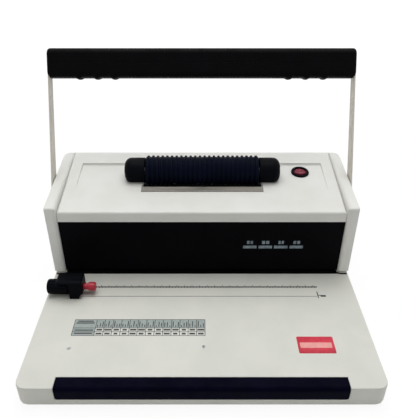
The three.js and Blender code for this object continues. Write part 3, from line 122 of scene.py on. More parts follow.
class Sheet:
    """Adds and joins the nodes of one tree."""

    def __init__(self, tree: bpy.types.NodeTree) -> None:
        """Takes the tree to work in."""
        self.tree = tree

    def add(
        self, kind: str, inputs: dict[str | int, object] | None = None, **settings: object
    ) -> bpy.types.Node:
        """Adds a node.

        Args:
            kind: the node's type without its ShaderNode prefix.
            inputs: values or sockets by input name or number.
            settings: the node's own properties.

        Returns:
            The node.
        """
        made = self.tree.nodes.new("ShaderNode" + kind)
        for name, value in settings.items():
            setattr(made, name, value)
        for name, value in (inputs or {}).items():
            if isinstance(value, bpy.types.NodeSocket):
                self.join(value, made.inputs[name])
            else:
                made.inputs[name].default_value = value
        return made

    def join(self, value: bpy.types.NodeSocket, target: bpy.types.NodeSocket) -> None:
        """Links an output to an input."""
        self.tree.links.new(value, target)

    def math(self, operation: str, first: object, second: object) -> bpy.types.NodeSocket:
        """Adds a Math node and gives its output."""
        return self.add("Math", {0: first, 1: second}, operation=operation).outputs[0]

    def spread(
        self, value: object, low: float, high: float, to_low: float = 0.0, to_high: float = 1.0
    ) -> bpy.types.NodeSocket:
        """Maps a span of a value smoothly to another span.

        Args:
            value: the value.
            low: where its span starts.
            high: where its span ends.
            to_low: what the start becomes.
            to_high: what the end becomes.

        Returns:
            The new value.
        """
        inputs = {0: value, 1: low, 2: high, 3: to_low, 4: to_high}
        return self.add("MapRange", inputs, interpolation_type="SMOOTHSTEP").outputs[0]

    def mix(self, factor: object, first: object, second: object) -> bpy.types.NodeSocket:
        """Mixes two colours and gives the output."""
        return self.add("Mix", {0: factor, 6: first, 7: second}, data_type="RGBA").outputs[2]

    def tint(
        self, colour: object, mask: bpy.types.NodeSocket, share: float, over: str
    ) -> bpy.types.NodeSocket:
        """Lays a share of a second colour over the first, where a mask is high."""
        return self.mix(self.math("MULTIPLY", mask, share), colour, linear(over))

    def noise(self, scale: object, detail: float, bend: float = 0.0) -> bpy.types.NodeSocket:
        """Adds noise that stays on the piece.

        Args:
            scale: how many patches it has in a metre.
            detail: how many finer layers it has.
            bend: how far its patches are pulled out of shape.

        Returns:
            The noise.
        """
        place = self.add("TexCoord").outputs["Object"]
        inputs = {"Vector": place, "Scale": scale, "Detail": detail, "Distortion": bend}
        return self.add("TexNoise", inputs).outputs[0]

    def effect(self, group: bpy.types.NodeTree, **inputs: float) -> bpy.types.Node:
        """Places a shared effect.

        Args:
            group: the effect.
            inputs: its values, by the names of its inputs in small letters.

        Returns:
            The effect's node.
        """
        made = self.add("Group", node_tree=group)
        for name, value in inputs.items():
            made.inputs[name.capitalize()].default_value = value
        return made


class Effects:
    """Effects that several finishes share, each a node group built once."""

    def __init__(self) -> None:
        """Builds every group."""
        self.grain = self._grain()
        self.wear = self._wear()
        self.dust = self._dust()
        self.brushing = self._brushing()
        self.smears = self._smears()

    @staticmethod
    def _start(
        name: str, inputs: dict[str, float], outputs: dict[str, str]
    ) -> tuple[Sheet, bpy.types.Node, bpy.types.Node]:
        """Makes a group with its sockets.

        Args:
            name: the group's name.
            inputs: default value by input name.
            outputs: Float, Color or Vector by output name.

        Returns:
            The sheet, the input node and the output node.
        """
        tree = bpy.data.node_groups.new(name, "ShaderNodeTree")
        for socket, value in inputs.items():
            made = tree.interface.new_socket(socket, in_out="INPUT", socket_type="NodeSocketFloat")
            made.default_value = value
        for socket, kind in outputs.items():
            tree.interface.new_socket(socket, in_out="OUTPUT", socket_type="NodeSocket" + kind)
        return Sheet(tree), tree.nodes.new("NodeGroupInput"), tree.nodes.new("NodeGroupOutput")

    def _grain(self) -> bpy.types.NodeTree:
        """Builds moulded or sprayed grain: a fine height and a broad mottled tone.

        Returns:
            The group.
        """
        sheet, given, made = self._start(
            "grain", {"Fine": 1400.0, "Broad": 60.0}, {"Height": "Float", "Tone": "Float"}
        )
        fine = sheet.noise(given.outputs["Fine"], 2.0)
        broad = sheet.noise(given.outputs["Broad"], 3.0)
        sheet.join(sheet.spread(fine, 0.3, 0.7), made.inputs["Height"])
        sheet.join(sheet.spread(broad, 0.32, 0.68), made.inputs["Tone"])
        return sheet.tree

    def _wear(self) -> bpy.types.NodeTree:
        """Builds rubbed edges: a mask that breaks up along them, and their rounded normal.

        Returns:
            The group.
        """
        sheet, given, made = self._start(
            "edge_wear", {"Radius": 0.0008, "Breakup": 180.0}, {"Mask": "Float", "Normal": "Vector"}
        )
        rounded = sheet.add("Bevel", {"Radius": given.outputs["Radius"]}, samples=6).outputs[0]
        normal = sheet.add("NewGeometry").outputs["Normal"]
        turn = sheet.add("VectorMath", {0: rounded, 1: normal}, operation="DOT_PRODUCT")
        edge = sheet.spread(turn.outputs["Value"], 0.995, 0.9)
        patches = sheet.spread(sheet.noise(given.outputs["Breakup"], 4.0), 0.42, 0.62)
        sheet.join(sheet.math("MULTIPLY", edge, patches), made.inputs["Mask"])
        sheet.join(rounded, made.inputs["Normal"])
        return sheet.tree

    def _dust(self) -> bpy.types.NodeTree:
        """Builds dust that settles in patches on what faces up.

        Returns:
            The group.
        """
        sheet, given, made = self._start("settled_dust", {"Scale": 40.0}, {"Mask": "Float"})
        normal = sheet.add("SeparateXYZ", {0: sheet.add("NewGeometry").outputs["Normal"]})
        upward = sheet.spread(normal.outputs["Z"], 0.55, 0.98)
        patches = sheet.spread(sheet.noise(given.outputs["Scale"], 5.0), 0.35, 0.75)
        sheet.join(sheet.math("MULTIPLY", upward, patches), made.inputs["Mask"])
        return sheet.tree

    def _brushing(self) -> bpy.types.NodeTree:
        """Builds the lines that brushing, drawing or grinding leaves along X.

        Returns:
            The group.
        """
        sheet, given, made = self._start(
            "brushing", {"Along": 12.0, "Across": 1600.0}, {"Height": "Float", "Tone": "Float"}
        )
        along, across = given.outputs["Along"], given.outputs["Across"]
        scale = sheet.add("CombineXYZ", {0: along, 1: across, 2: across}).outputs[0]
        place = sheet.add("TexCoord").outputs["Object"]
        stretched = sheet.add("VectorMath", {0: place, 1: scale}, operation="MULTIPLY").outputs[0]
        inputs = {"Vector": stretched, "Scale": 1.0, "Detail": 3.0}
        lines = sheet.add("TexNoise", inputs).outputs[0]
        sheet.join(lines, made.inputs["Height"])
        sheet.join(sheet.spread(lines, 0.3, 0.7), made.inputs["Tone"])
        return sheet.tree

    def _smears(self) -> bpy.types.NodeTree:
        """Builds hand smears: soft patches where a surface is a little less shiny.

        Returns:
            The group.
        """
        sheet, given, made = self._start("hand_smears", {"Scale": 22.0}, {"Mask": "Float"})
        patches = sheet.noise(given.outputs["Scale"], 2.0, 1.2)
        sheet.join(sheet.spread(patches, 0.4, 0.7), made.inputs["Mask"])
        return sheet.tree


# --------------------------------------------------------------------------
# Finishes


@dataclass(frozen=True)
class Finish:
    """What every finish has: a colour, a second colour that it drifts to, and a shine."""

    name: str
    slot: str
    colour: str
    drift: str
    roughness: float = 0.5
    specular: float = 0.5

    def start(self) -> tuple[bpy.types.Material, Sheet, bpy.types.Node]:
        """Makes the material with a bare Principled shader.

        Returns:
            The material, its sheet and its shader.
        """
        material = bpy.data.materials.new(self.name)
        material.use_nodes = True
        material.diffuse_color = linear(self.colour)
        shader = material.node_tree.nodes["Principled BSDF"]
        shader.inputs["Specular IOR Level"].default_value = self.specular
        return material, Sheet(material.node_tree), shader

    def drifting(self, sheet: Sheet, tone: bpy.types.NodeSocket) -> bpy.types.NodeSocket:
        """Gives the colour, drifting to the second one with a tone."""
        return sheet.mix(tone, linear(self.colour), linear(self.drift))

    def close(
        self,
        sheet: Sheet,
        shader: bpy.types.Node,
        colour: bpy.types.NodeSocket,
        dull: tuple[bpy.types.NodeSocket, float],
        relief: dict[str, object],
    ) -> None:
        """Joins what changes over the surface to the shader.

        Args:
            sheet: the material's sheet.
            shader: its shader.
            colour: the colour.
            dull: a mask of where the surface is less shiny, and how much rougher it is there.
            relief: the Bump node's inputs.
        """
        mask, rougher = dull
        shine = sheet.spread(mask, 0.0, 1.0, self.roughness, self.roughness + rougher)
        sheet.join(colour, shader.inputs["Base Color"])
        sheet.join(shine, shader.inputs["Roughness"])
        sheet.join(sheet.add("Bump", relief).outputs[0], shader.inputs["Normal"])

    def build(self, effects: Effects) -> bpy.types.Material:
        """Makes the material; each kind of finish has its own way."""
        raise NotImplementedError


@dataclass(frozen=True)
class Paint(Finish):
    """Sprayed paint with a fine orange peel, rubbed edges, a little dust and hand smears."""

    rubbed: str = "f4f3ef"
    rub_share: float = 0.55
    dust: str = "b8b2a6"
    dust_share: float = 0.12
    dust_scale: float = 34.0
    strength: float = 0.06
    depth: float = 0.0004
    fine: float = 900.0
    broad: float = 26.0
    edge: float = 0.0009
    breakup: float = 120.0
    smear: float = 0.14
    smear_scale: float = 16.0

    def build(self, effects: Effects) -> bpy.types.Material:
        """Makes the material from the shared effects.

        Args:
            effects: the shared effects.

        Returns:
            The material.
        """
        material, sheet, shader = self.start()
        grain = sheet.effect(effects.grain, fine=self.fine, broad=self.broad).outputs
        worn = sheet.effect(effects.wear, radius=self.edge, breakup=self.breakup).outputs
        dusty = sheet.effect(effects.dust, scale=self.dust_scale).outputs["Mask"]
        smears = sheet.effect(effects.smears, scale=self.smear_scale).outputs["Mask"]
        colour = self.drifting(sheet, grain["Tone"])
        colour = sheet.tint(colour, worn["Mask"], self.rub_share, self.rubbed)
        colour = sheet.tint(colour, dusty, self.dust_share, self.dust)
        relief = {"Strength": self.strength, "Distance": self.depth}
        relief |= {"Height": grain["Height"], "Normal": worn["Normal"]}
        self.close(sheet, shader, colour, (smears, self.smear), relief)
        return material


@dataclass(frozen=True)
class Plastic(Paint):
    """Moulded plastic or rubber: as paint, but with a finer grain and polished edges."""

    rubbed: str = "34363c"
    rub_share: float = 0.5
    dust: str = "8a8a8c"
    dust_share: float = 0.012
    dust_scale: float = 60.0
    strength: float = 0.25
    depth: float = 0.0002
    fine: float = 1500.0
    broad: float = 45.0
    edge: float = 0.0007
    breakup: float = 220.0
    smear: float = 0.12
    smear_scale: float = 24.0


@dataclass(frozen=True)
class Metal(Finish):
    """Bare metal with brushed or drawn lines and brighter edges."""

    bright: str = "d8d8da"
    bright_share: float = 0.7
    along: float = 14.0
    across: float = 1500.0
    strength: float = 0.15
    depth: float = 0.0001
    anisotropy: float = 0.4
    edge: float = 0.0005
    breakup: float = 300.0
    smear: float = 0.15
    smear_scale: float = 30.0

    def build(self, effects: Effects) -> bpy.types.Material:
        """Makes the material from the shared effects.

        Args:
            effects: the shared effects.

        Returns:
            The material.
        """
        material, sheet, shader = self.start()
        shader.inputs["Metallic"].default_value = 1.0
        shader.inputs["Anisotropic"].default_value = self.anisotropy
        lines = sheet.effect(effects.brushing, along=self.along, across=self.across).outputs
        worn = sheet.effect(effects.wear, radius=self.edge, breakup=self.breakup).outputs
        smears = sheet.effect(effects.smears, scale=self.smear_scale).outputs["Mask"]
        colour = self.drifting(sheet, lines["Tone"])
        colour = sheet.tint(colour, worn["Mask"], self.bright_share, self.bright)
        relief = {"Strength": self.strength, "Distance": self.depth}
        relief |= {"Height": lines["Height"], "Normal": worn["Normal"]}
        self.close(sheet, shader, colour, (smears, self.smear), relief)
        return material


@dataclass(frozen=True)
class Ink(Finish):
    """Printing ink that has lost a little of its colour in places."""

    strength: float = 0.1
    depth: float = 0.0001
    fine: float = 2200.0
    broad: float = 240.0
    rougher: float = 0.1

    def build(self, effects: Effects) -> bpy.types.Material:
        """Makes the material from the shared effects.

        Args:
            effects: the shared effects.

        Returns:
            The material.
        """
        material, sheet, shader = self.start()
        grain = sheet.effect(effects.grain, fine=self.fine, broad=self.broad).outputs
        colour = self.drifting(sheet, grain["Tone"])
        relief = {"Strength": self.strength, "Distance": self.depth, "Height": grain["Height"]}
        self.close(sheet, shader, colour, (grain["Tone"], self.rougher), relief)
        return material


COVER_PAINT = Paint("cover_paint", "cover_paint", "e5e5e1", "e2e2dd", 0.46, dust_share=0.05)
TABLE_PAINT = Paint("table_paint", "cover_paint", "dadad2", "d5d6cd", 0.48, dust_share=0.05)
GREY_PAINT = Paint("grey_paint", "grey_paint", "bdbbb6", "b2b0ab", 0.5)
ARM_PAINT = Paint("arm_paint", "arm_paint", "d8d4c8", "cdc9bd", 0.42, strength=0.04)
PANEL_PAINT = Paint(
    "panel_paint",
    "black_paint",
    "030306",
    "050508",
    specular=0.03,
    rubbed="121217",
    dust="26262b",
    dust_share=0.006,
)
BLACK_PLASTIC = Plastic(
    "black_plastic",
    "black_plastic",
    "020307",
    "04050a",
    0.46,
    0.04,
    rubbed="101218",
    dust_share=0.005,
)
DRAWER_PLASTIC = Plastic(
    "drawer_plastic",
    "black_plastic",
    "020211",
    "040417",
    0.52,
    0.02,
    rubbed="0e0f19",
    dust_share=0.005,
    strength=0.3,
)
GRIP_PLASTIC = Plastic(
    "grip_plastic",
    "black_plastic",
    "010102",
    "030305",
    0.5,
    0.04,
    rubbed="0d0e12",
    dust_share=0.003,
    strength=0.4,
    fine=900.0,
)
RED_PLASTIC = Plastic(
    "red_plastic", "red_plastic", "b01c34", "a3172f", 0.3, 0.4, rubbed="cf4a62", strength=0.08
)
ROCKER_PLASTIC = Plastic(
    "rocker_plastic", "red_plastic", "7d1630", "72122b", 0.3, 0.25, rubbed="a03452", strength=0.05
)
ROLLER_RUBBER = Plastic(
    "roller_rubber",
    "rubber",
    "040817",
    "070c1d",
    0.46,
    0.04,
    rubbed="121b33",
    dust_share=0.005,
    strength=0.3,
)
FOOT_RUBBER = Plastic(
    "foot_rubber", "rubber", "101114", "16171b", 0.75, 0.2, rubbed="28292f", strength=0.5
)
# A dark matt black laid only where there is shade: painted shade in the throat, a painted shadow
# under the body's front edge, and painted shade on the shelf's rear edge.
PAINTED_SHADE_BLACK = Plastic(
    "painted_shade_black",
    "black_plastic",
    "030305",
    "07070a",
    0.95,
    0.02,
    rubbed="050507",
    strength=0.8,
    fine=2600.0,
)
STEEL = Metal("steel", "steel", "a3a4a6", "8f9092", 0.34)
PLATED_STEEL = Metal("plated_steel", "steel", "86847c", "76746d", 0.44, across=900.0)
TOOL_STEEL = Metal("tool_steel", "tool_steel", "85878a", "737578", 0.28, across=2200.0)
BRONZE = Metal(
    "bronze", "bronze", "b08a4e", "94713c", 0.42, bright="d8b478", along=40.0, across=700.0
)
BLACK_INK = Ink("black_ink", "black_paint", "2b2c30", "45464b", 0.55, 0.3)
TINT_INK = Ink("tint_ink", "grey_paint", "a3ada9", "98a3a0", 0.5, 0.3)
PINK_INK = Ink("pink_ink", "red_plastic", "efa8a2", "eb9f9a", 0.5, 0.3)
ROSE_INK = Ink("rose_ink", "red_plastic", "c07a8c", "b06a7c", 0.4, 0.3)
PALE_INK = Ink("pale_ink", "cover_paint", "8c9aa2", "6b7a84", 0.5, 0.2)
RED_LABEL = Ink("red_label", "red_plastic", "e2485a", "d84052", 0.5, 0.3)


class Workshop:
    """Keeps the built materials, and gives finished pieces to the machine."""

    def __init__(self) -> None:
        """Builds the shared effects."""
        self.effects = Effects()
        self.made: dict[str, bpy.types.Material] = {}

    def material(self, finish: Finish) -> bpy.types.Material:
        """Gives a finish's material, built at its first use.

        Args:
            finish: the finish.

        Returns:
            Its material.
        """
        if finish.name not in self.made:
            self.made[finish.name] = finish.build(self.effects)
        return self.made[finish.name]

    def fit(
        self,
        piece: bpy.types.Object,
        body: Body,
        finish: Finish,
        nodes: Sequence[str] = (),
        edge: float = 0.3,
    ) -> bpy.types.Object:
        """Finishes a piece and sets it on its body.

        Args:
            piece: the piece, in place.
            body: the body that it moves with.
            finish: its finish.
            nodes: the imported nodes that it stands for.
            edge: how far its sharp edges are rounded, in millimetres, or 0.

        Returns:
            The piece.
        """
        piece.data.materials.clear()
        piece.data.materials.append(self.material(finish))
        if edge:
            soften(piece, edge)
        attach(piece, body.value)
        if nodes:
            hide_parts(*nodes)
        log.info("%s: %s on %s", piece.name, finish.name, body.value)
        return piece

    def dress(self, finish: Finish, nodes: Iterable[str], edge: float) -> None:
        """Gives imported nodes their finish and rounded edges, their solids as they are.

        Args:
            finish: the finish.
            nodes: the nodes' names.
            edge: how far their sharp edges are rounded, in millimetres.
        """
        for name in nodes:
            node = frame["nodes"][name]
            for held in node.material_slots:
                held.material = self.material(finish)
            weld = node.modifiers.new("joined_corners", "WELD")
            weld.merge_threshold = CORNER_REACH
            flat = node.modifiers.new("whole_faces", "DECIMATE")
            flat.decimate_type = "DISSOLVE"
            flat.angle_limit = math.radians(FLAT_ANGLE)
            soften(node, edge)
            log.info("%s: %s, as packed", name, finish.name)


# --------------------------------------------------------------------------
# Meshes


def smooth_shading() -> bpy.types.NodeTree:
    """Gives the modifier tree that shades every face and edge as smooth, built once.

    Returns:
        The tree.
    """
    name = "smooth_shading"
    if name in bpy.data.node_groups:
        return bpy.data.node_groups[name]
    tree = bpy.data.node_groups.new(name, "GeometryNodeTree")
    tree.interface.new_socket("Geometry", in_out="INPUT", socket_type="NodeSocketGeometry")
    tree.interface.new_socket("Geometry", in_out="OUTPUT", socket_type="NodeSocketGeometry")
    last = tree.nodes.new("NodeGroupInput").outputs[0]
    for domain in ("FACE", "EDGE"):
        shade = tree.nodes.new("GeometryNodeSetShadeSmooth")
        shade.domain = domain
        tree.links.new(last, shade.inputs["Geometry"])
        last = shade.outputs["Geometry"]
    tree.links.new(last, tree.nodes.new("NodeGroupOutput").inputs[0])
    return tree


def soften(piece: bpy.types.Object, edge: float) -> None:
    """Rounds sharp edges and shades the rest by its large faces, with modifiers.

    Args:
        piece: the object.
        edge: the rounding's width in millimetres, or 0 for shading alone.
    """
    if edge:
        bevel = piece.modifiers.new("rounded_edges", "BEVEL")
        bevel.width = edge * MM
        bevel.segments = 2
        bevel.limit_method = "ANGLE"
        bevel.angle_limit = math.radians(SHARP_ANGLE)
        bevel.use_clamp_overlap = True
    shading = piece.modifiers.new("smooth_shading", "NODES")
    shading.node_group = smooth_shading()
    normals = piece.modifiers.new("face_normals", "WEIGHTED_NORMAL")
    normals.keep_sharp = False
    normals.weight = FACE_WEIGHT


def linked(name: str, data: bpy.types.ID) -> bpy.types.Object:
    """Makes an object and links it to the scene.

    Args:
        name: its name.
        data: its mesh, lamp or camera.

    Returns:
        The object.
    """
    made = bpy.data.objects.new(name, data)
    bpy.context.scene.collection.objects.link(made)
    return made


def blank(name: str, points: Sequence[Point], faces: Sequence[Sequence[int]]) -> bpy.types.Object:
    """Makes a mesh object from points in millimetres.

    Args:
        name: its name.
        points: its corners.
        faces: its faces, as corner numbers.

    Returns:
        The object, linked to the scene.
    """
    mesh = bpy.data.meshes.new(name)
    mesh.from_pydata([Vector(p) * MM for p in points], [], faces)
    work = bmesh.new()
    work.from_mesh(mesh)
    bmesh.ops.remove_doubles(work, verts=work.verts, dist=SAME_POINT)
    bmesh.ops.recalc_face_normals(work, faces=work.faces)
    work.to_mesh(mesh)
    work.free()
    mesh.shade_smooth()
    return linked(name, mesh)


def shift(x: float, y: float, z: float) -> Matrix:
    """Gives the move to a place in millimetres, in metres."""
    return Matrix.Translation(Vector((x, y, z)) * MM)


def rotation(degrees: float, axis: str) -> Matrix:
    """Gives a turn about X, Y or Z."""
    return Matrix.Rotation(math.radians(degrees), 4, axis)


def move(piece: bpy.types.Object, place: Matrix) -> bpy.types.Object:
    """Moves a piece's mesh by a matrix in metres, and leaves the object at the origin."""
    piece.data.transform(place)
    return piece


def set_at_side(piece: bpy.types.Object, side: Side, place: Matrix) -> None:
    """Sets a piece that was made for the right in its place, mirrored for the left.

    Args:
        piece: the piece.
        side: its side.
        place: where the frame that it was made in goes.
    """
    move(piece, place @ Matrix.Diagonal((side.value, 1, 1, 1)))
    if side is Side.LEFT:
        piece.data.flip_normals()


def lofted(name: str, rings: Sequence[Sequence[Point]], closed: bool = False) -> bpy.types.Object:
    """Joins rings of equal length into a solid.

    Args:
        name: the piece's name.
        rings: the rings in order, in millimetres.
        closed: whether the last ring meets the first, as in a tube bent to a ring.

    Returns:
        The object.
    """
    count = len(rings[0])
    points = [p for ring in rings for p in ring]
    faces: list[list[int]] = []
    steps = len(rings) if closed else len(rings) - 1
    for i in range(steps):
        near, far = i * count, ((i + 1) % len(rings)) * count
        for j in range(count):
            k = (j + 1) % count
            faces.append([near + j, near + k, far + k, far + j])
    if not closed:
        faces.append(list(range(count)))
        faces.append([(len(rings) - 1) * count + j for j in range(count)])
    return blank(name, points, faces)


def circle(radius: float, sides: int) -> list[Flat]:
    """Gives the points of a circle about the origin."""
    turns = [2 * math.pi * j / sides for j in range(sides)]
    return [(radius * math.cos(t), radius * math.sin(t)) for t in turns]


def turned(name: str, profile: Sequence[Flat], sides: int = 64) -> bpy.types.Object:
    """Turns a profile about the X axis.

    Args:
        name: the piece's name.
        profile: points as (x, radius); it closes on itself where it ends off the axis.
        sides: how many steps round.

    Returns:
        The object.
    """
    closed = profile[0][1] > TINY and profile[-1][1] > TINY
    rings = [[(x, y, z) for y, z in circle(max(radius, TINY), sides)] for x, radius in profile]
    return lofted(name, rings, closed)


def rod(name: str, low: float, high: float, radius: float, sides: int) -> bpy.types.Object:
    """Makes a round rod along X.

    Args:
        name: the piece's name.
        low: where it starts.
        high: where it ends.
        radius: its radius.
        sides: how many steps round.

    Returns:
        The object.
    """
    return turned(name, [(low, 0.0), (low, radius), (high, radius), (high, 0.0)], sides)


def box_blank(name: str, low: Point, high: Point) -> bpy.types.Object:
    """Makes a block between two corners.

    Args:
        name: the piece's name.
        low: its lowest corner, in millimetres.
        high: its highest corner.

    Returns:
        The object.
    """
    xs, ys, zs = zip(low, high)
    ring = [(0, 0), (1, 0), (1, 1), (0, 1)]
    return lofted(name, [[(xs[a], ys[b], z) for a, b in ring] for z in zs])


def carve(
    piece: bpy.types.Object, *tools: bpy.types.Object, joins: bool = False
) -> bpy.types.Object:
    """Cuts tools out of a piece, or joins them to it, and removes them.

    Args:
        piece: the solid that is worked on.
        tools: closed solids.
        joins: whether they are joined.

    Returns:
        The piece.
    """
    for tool in tools:
        step = piece.modifiers.new("cut", "BOOLEAN")
        step.operation = "UNION" if joins else "DIFFERENCE"
        step.solver = "EXACT"
        step.object = tool
    bpy.context.view_layer.update()
    graph = bpy.context.evaluated_depsgraph_get()
    done = bpy.data.meshes.new_from_object(piece.evaluated_get(graph), depsgraph=graph)
    piece.modifiers.clear()
    old = piece.data
    done.name = old.name
    piece.data = done
    bpy.data.meshes.remove(old)
    for tool in tools:
        spent = tool.data
        bpy.data.objects.remove(tool)
        bpy.data.meshes.remove(spent)
    piece.data.shade_smooth()
    return piece


def rounded_rectangle(width: float, height: float, radius: float, steps: int = 8) -> list[Flat]:
    """Gives the outline of a rectangle with round corners, about its middle.

    Args:
        width: its width.
        height: its height.
        radius: its corners' radius.
        steps: how many steps a corner has.

    Returns:
        The outline's points.
    """
    points = []
    corners = [(1, 1, 0), (-1, 1, 90), (-1, -1, 180), (1, -1, 270)]
    for a, b, start in corners:
        for i in range(steps + 1):
            turn = math.radians(start + 90 * i / steps)
            x = a * (width / 2 - radius) + radius * math.cos(turn)
            y = b * (height / 2 - radius) + radius * math.sin(turn)
            points.append((x, y))
    return points


def round_off(radius: float, steps: int = 5) -> list[Flat]:
    """Gives a rounded rim as (in from the end, in from the side), from the end on."""
    turns = [math.pi / 2 * i / steps for i in range(steps + 1)]
    return [(radius * (1 - math.sin(t)), radius * (1 - math.cos(t))) for t in turns][::-1]


def bars(name: str, boxes: Sequence[Strip], level: float, height: float) -> bpy.types.Object:
    """Makes many thin flat bars as one piece, such as the lines of a print.

    Args:
        name: the piece's name.
        boxes: each bar as its low x, high x, low y and high y, in millimetres.
        level: their underside's height.
        height: how thick they are.

    Returns:
        The object.
    """
    points: list[Point] = []
    faces: list[list[int]] = []
    for x0, x1, y0, y1 in boxes:
        first = len(points)
        for z in (level, level + height):
            points += [(x0, y0, z), (x1, y0, z), (x1, y1, z), (x0, y1, z)]
        sides = [[i, (i + 1) % 4, (i + 1) % 4 + 4, i + 4] for i in range(4)]
        for corners in [[3, 2, 1, 0], [4, 5, 6, 7], *sides]:
            faces.append([first + c for c in corners])
    mesh = bpy.data.meshes.new(name)
    mesh.from_pydata([Vector(p) * MM for p in points], [], faces)
    return linked(name, mesh)


def span(node: str) -> tuple[Vector, Vector]:
    """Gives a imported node's lowest and highest corner in millimetres."""
    low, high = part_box(node)
    return low / MM, high / MM


def reach_of(node: str, middle: float = 0.0) -> tuple[float, float]:
    """Gives how far a node starts and ends from a middle, along X.

    Args:
        node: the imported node.
        middle: the middle's X, in millimetres.

    Returns:
        The near and the far distance.
    """
    low, high = span(node)
    near, far = sorted((abs(low.x - middle), abs(high.x - middle)))
    return near, far


def hinge_place(joint: str) -> Vector:
    """Gives the point that a packed hinge turns about, in millimetres."""
    found = next(j for j in frame["joints"] if j["name"] == joint)
    return Vector(found["pos_m"]) / MM


# --------------------------------------------------------------------------
# The machine


@dataclass
class Covers:
    """The painted covers, the black panel under the hood, and what stays hidden in them."""

    shop: Workshop
    # The cover screws: head, shank and the cross cut in the head.
    head_depth: float = 1.7
    head_round: float = 1.0
    shank: float = 1.9
    slot_width: float = 1.1
    slot_depth: float = 1.1
    slot_share: float = 0.62
    # The panel's marks: where they start, and each one's bar and two blocks.
    mark_left: float = 55.0
    mark_pitch: float = 20.6
    mark_width: float = 17.8
    mark_level: float = 70.2
    mark_height: float = 4.6
    mark_ink: float = 0.08
    sign_level: float = 77.5
    sign_height: float = 5.0
    sign_gap: float = 0.7
    sign_halves: tuple[float, ...] = (4.0, 4.8, 3.6, 4.4)

    def build(self) -> None:
        """Dresses the covers and makes their screws and the panel's marks."""
        sides = ["side_cover_left", "side_cover_right"]
        self.shop.dress(COVER_PAINT, ["top_cover", "rear_cover", *sides], 0.5)
        self.shop.dress(PANEL_PAINT, ["front_panel"], 0.3)
        self.shop.dress(BLACK_PLASTIC, ["mains_inlet"], 0.4)
        for side in Side:
            for place, degrees in (("front", 20), ("rear", 55)):
                self._screw(side, f"cover_screw_{place}_{side.word}", degrees)
        self._marks()

    def _screw(self, side: Side, node: str, degrees: float) -> None:
        """Makes one cover screw with a cross in its head.

        Args:
            side: the cover's side.
            node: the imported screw.
            degrees: how far the screw was turned home.
        """
        low, high = span(node)
        centre = (low + high) / 2
        radius = (high.z - low.z) / 2
        inner, outer = reach_of(node)
        head = outer - self.head_depth
        dome = [(outer - u, radius - v) for u, v in round_off(self.head_round)]
        profile = [(inner, 0.0), (inner, self.shank), (head, self.shank), (head, radius)]
        screw = turned(node + "_turned", [*profile, *dome[::-1], (outer, 0.0)], 40)
        half, deep = self.slot_width / 2, outer - self.slot_depth
        reach = radius * self.slot_share
        flat = box_blank("slot", (deep, -half, -reach), (outer + 1, half, reach))
        upright = box_blank("slot", (deep, -reach, -half), (outer + 1, reach, half))
        carve(screw, flat, upright)
        move(screw, rotation(degrees, "X"))
        set_at_side(screw, side, shift(0, centre.y, centre.z))
        self.shop.fit(screw, Body.BASE, STEEL, [node], 0.15)

    def _marks(self) -> None:
        """Prints four plain marks on the panel, each two small blocks over a wide bar."""
        low, high = self.sign_level, self.sign_level + self.sign_height
        boxes = []
        for i, half in enumerate(self.sign_halves):
            left = self.mark_left + i * self.mark_pitch
            right = left + self.mark_width
            middle = (left + right) / 2
            boxes.append((left, right, self.mark_level, self.mark_level + self.mark_height))
            boxes.append((middle - half, middle - self.sign_gap, low, high))
            boxes.append((middle + self.sign_gap, middle + half, low, high))
        marks = bars("panel_marks", boxes, 0.0, self.mark_ink)
        move(marks, shift(0, span("front_panel")[0].y, 0) @ rotation(90, "X"))
        self.shop.fit(marks, Body.BASE, PALE_INK, edge=0)


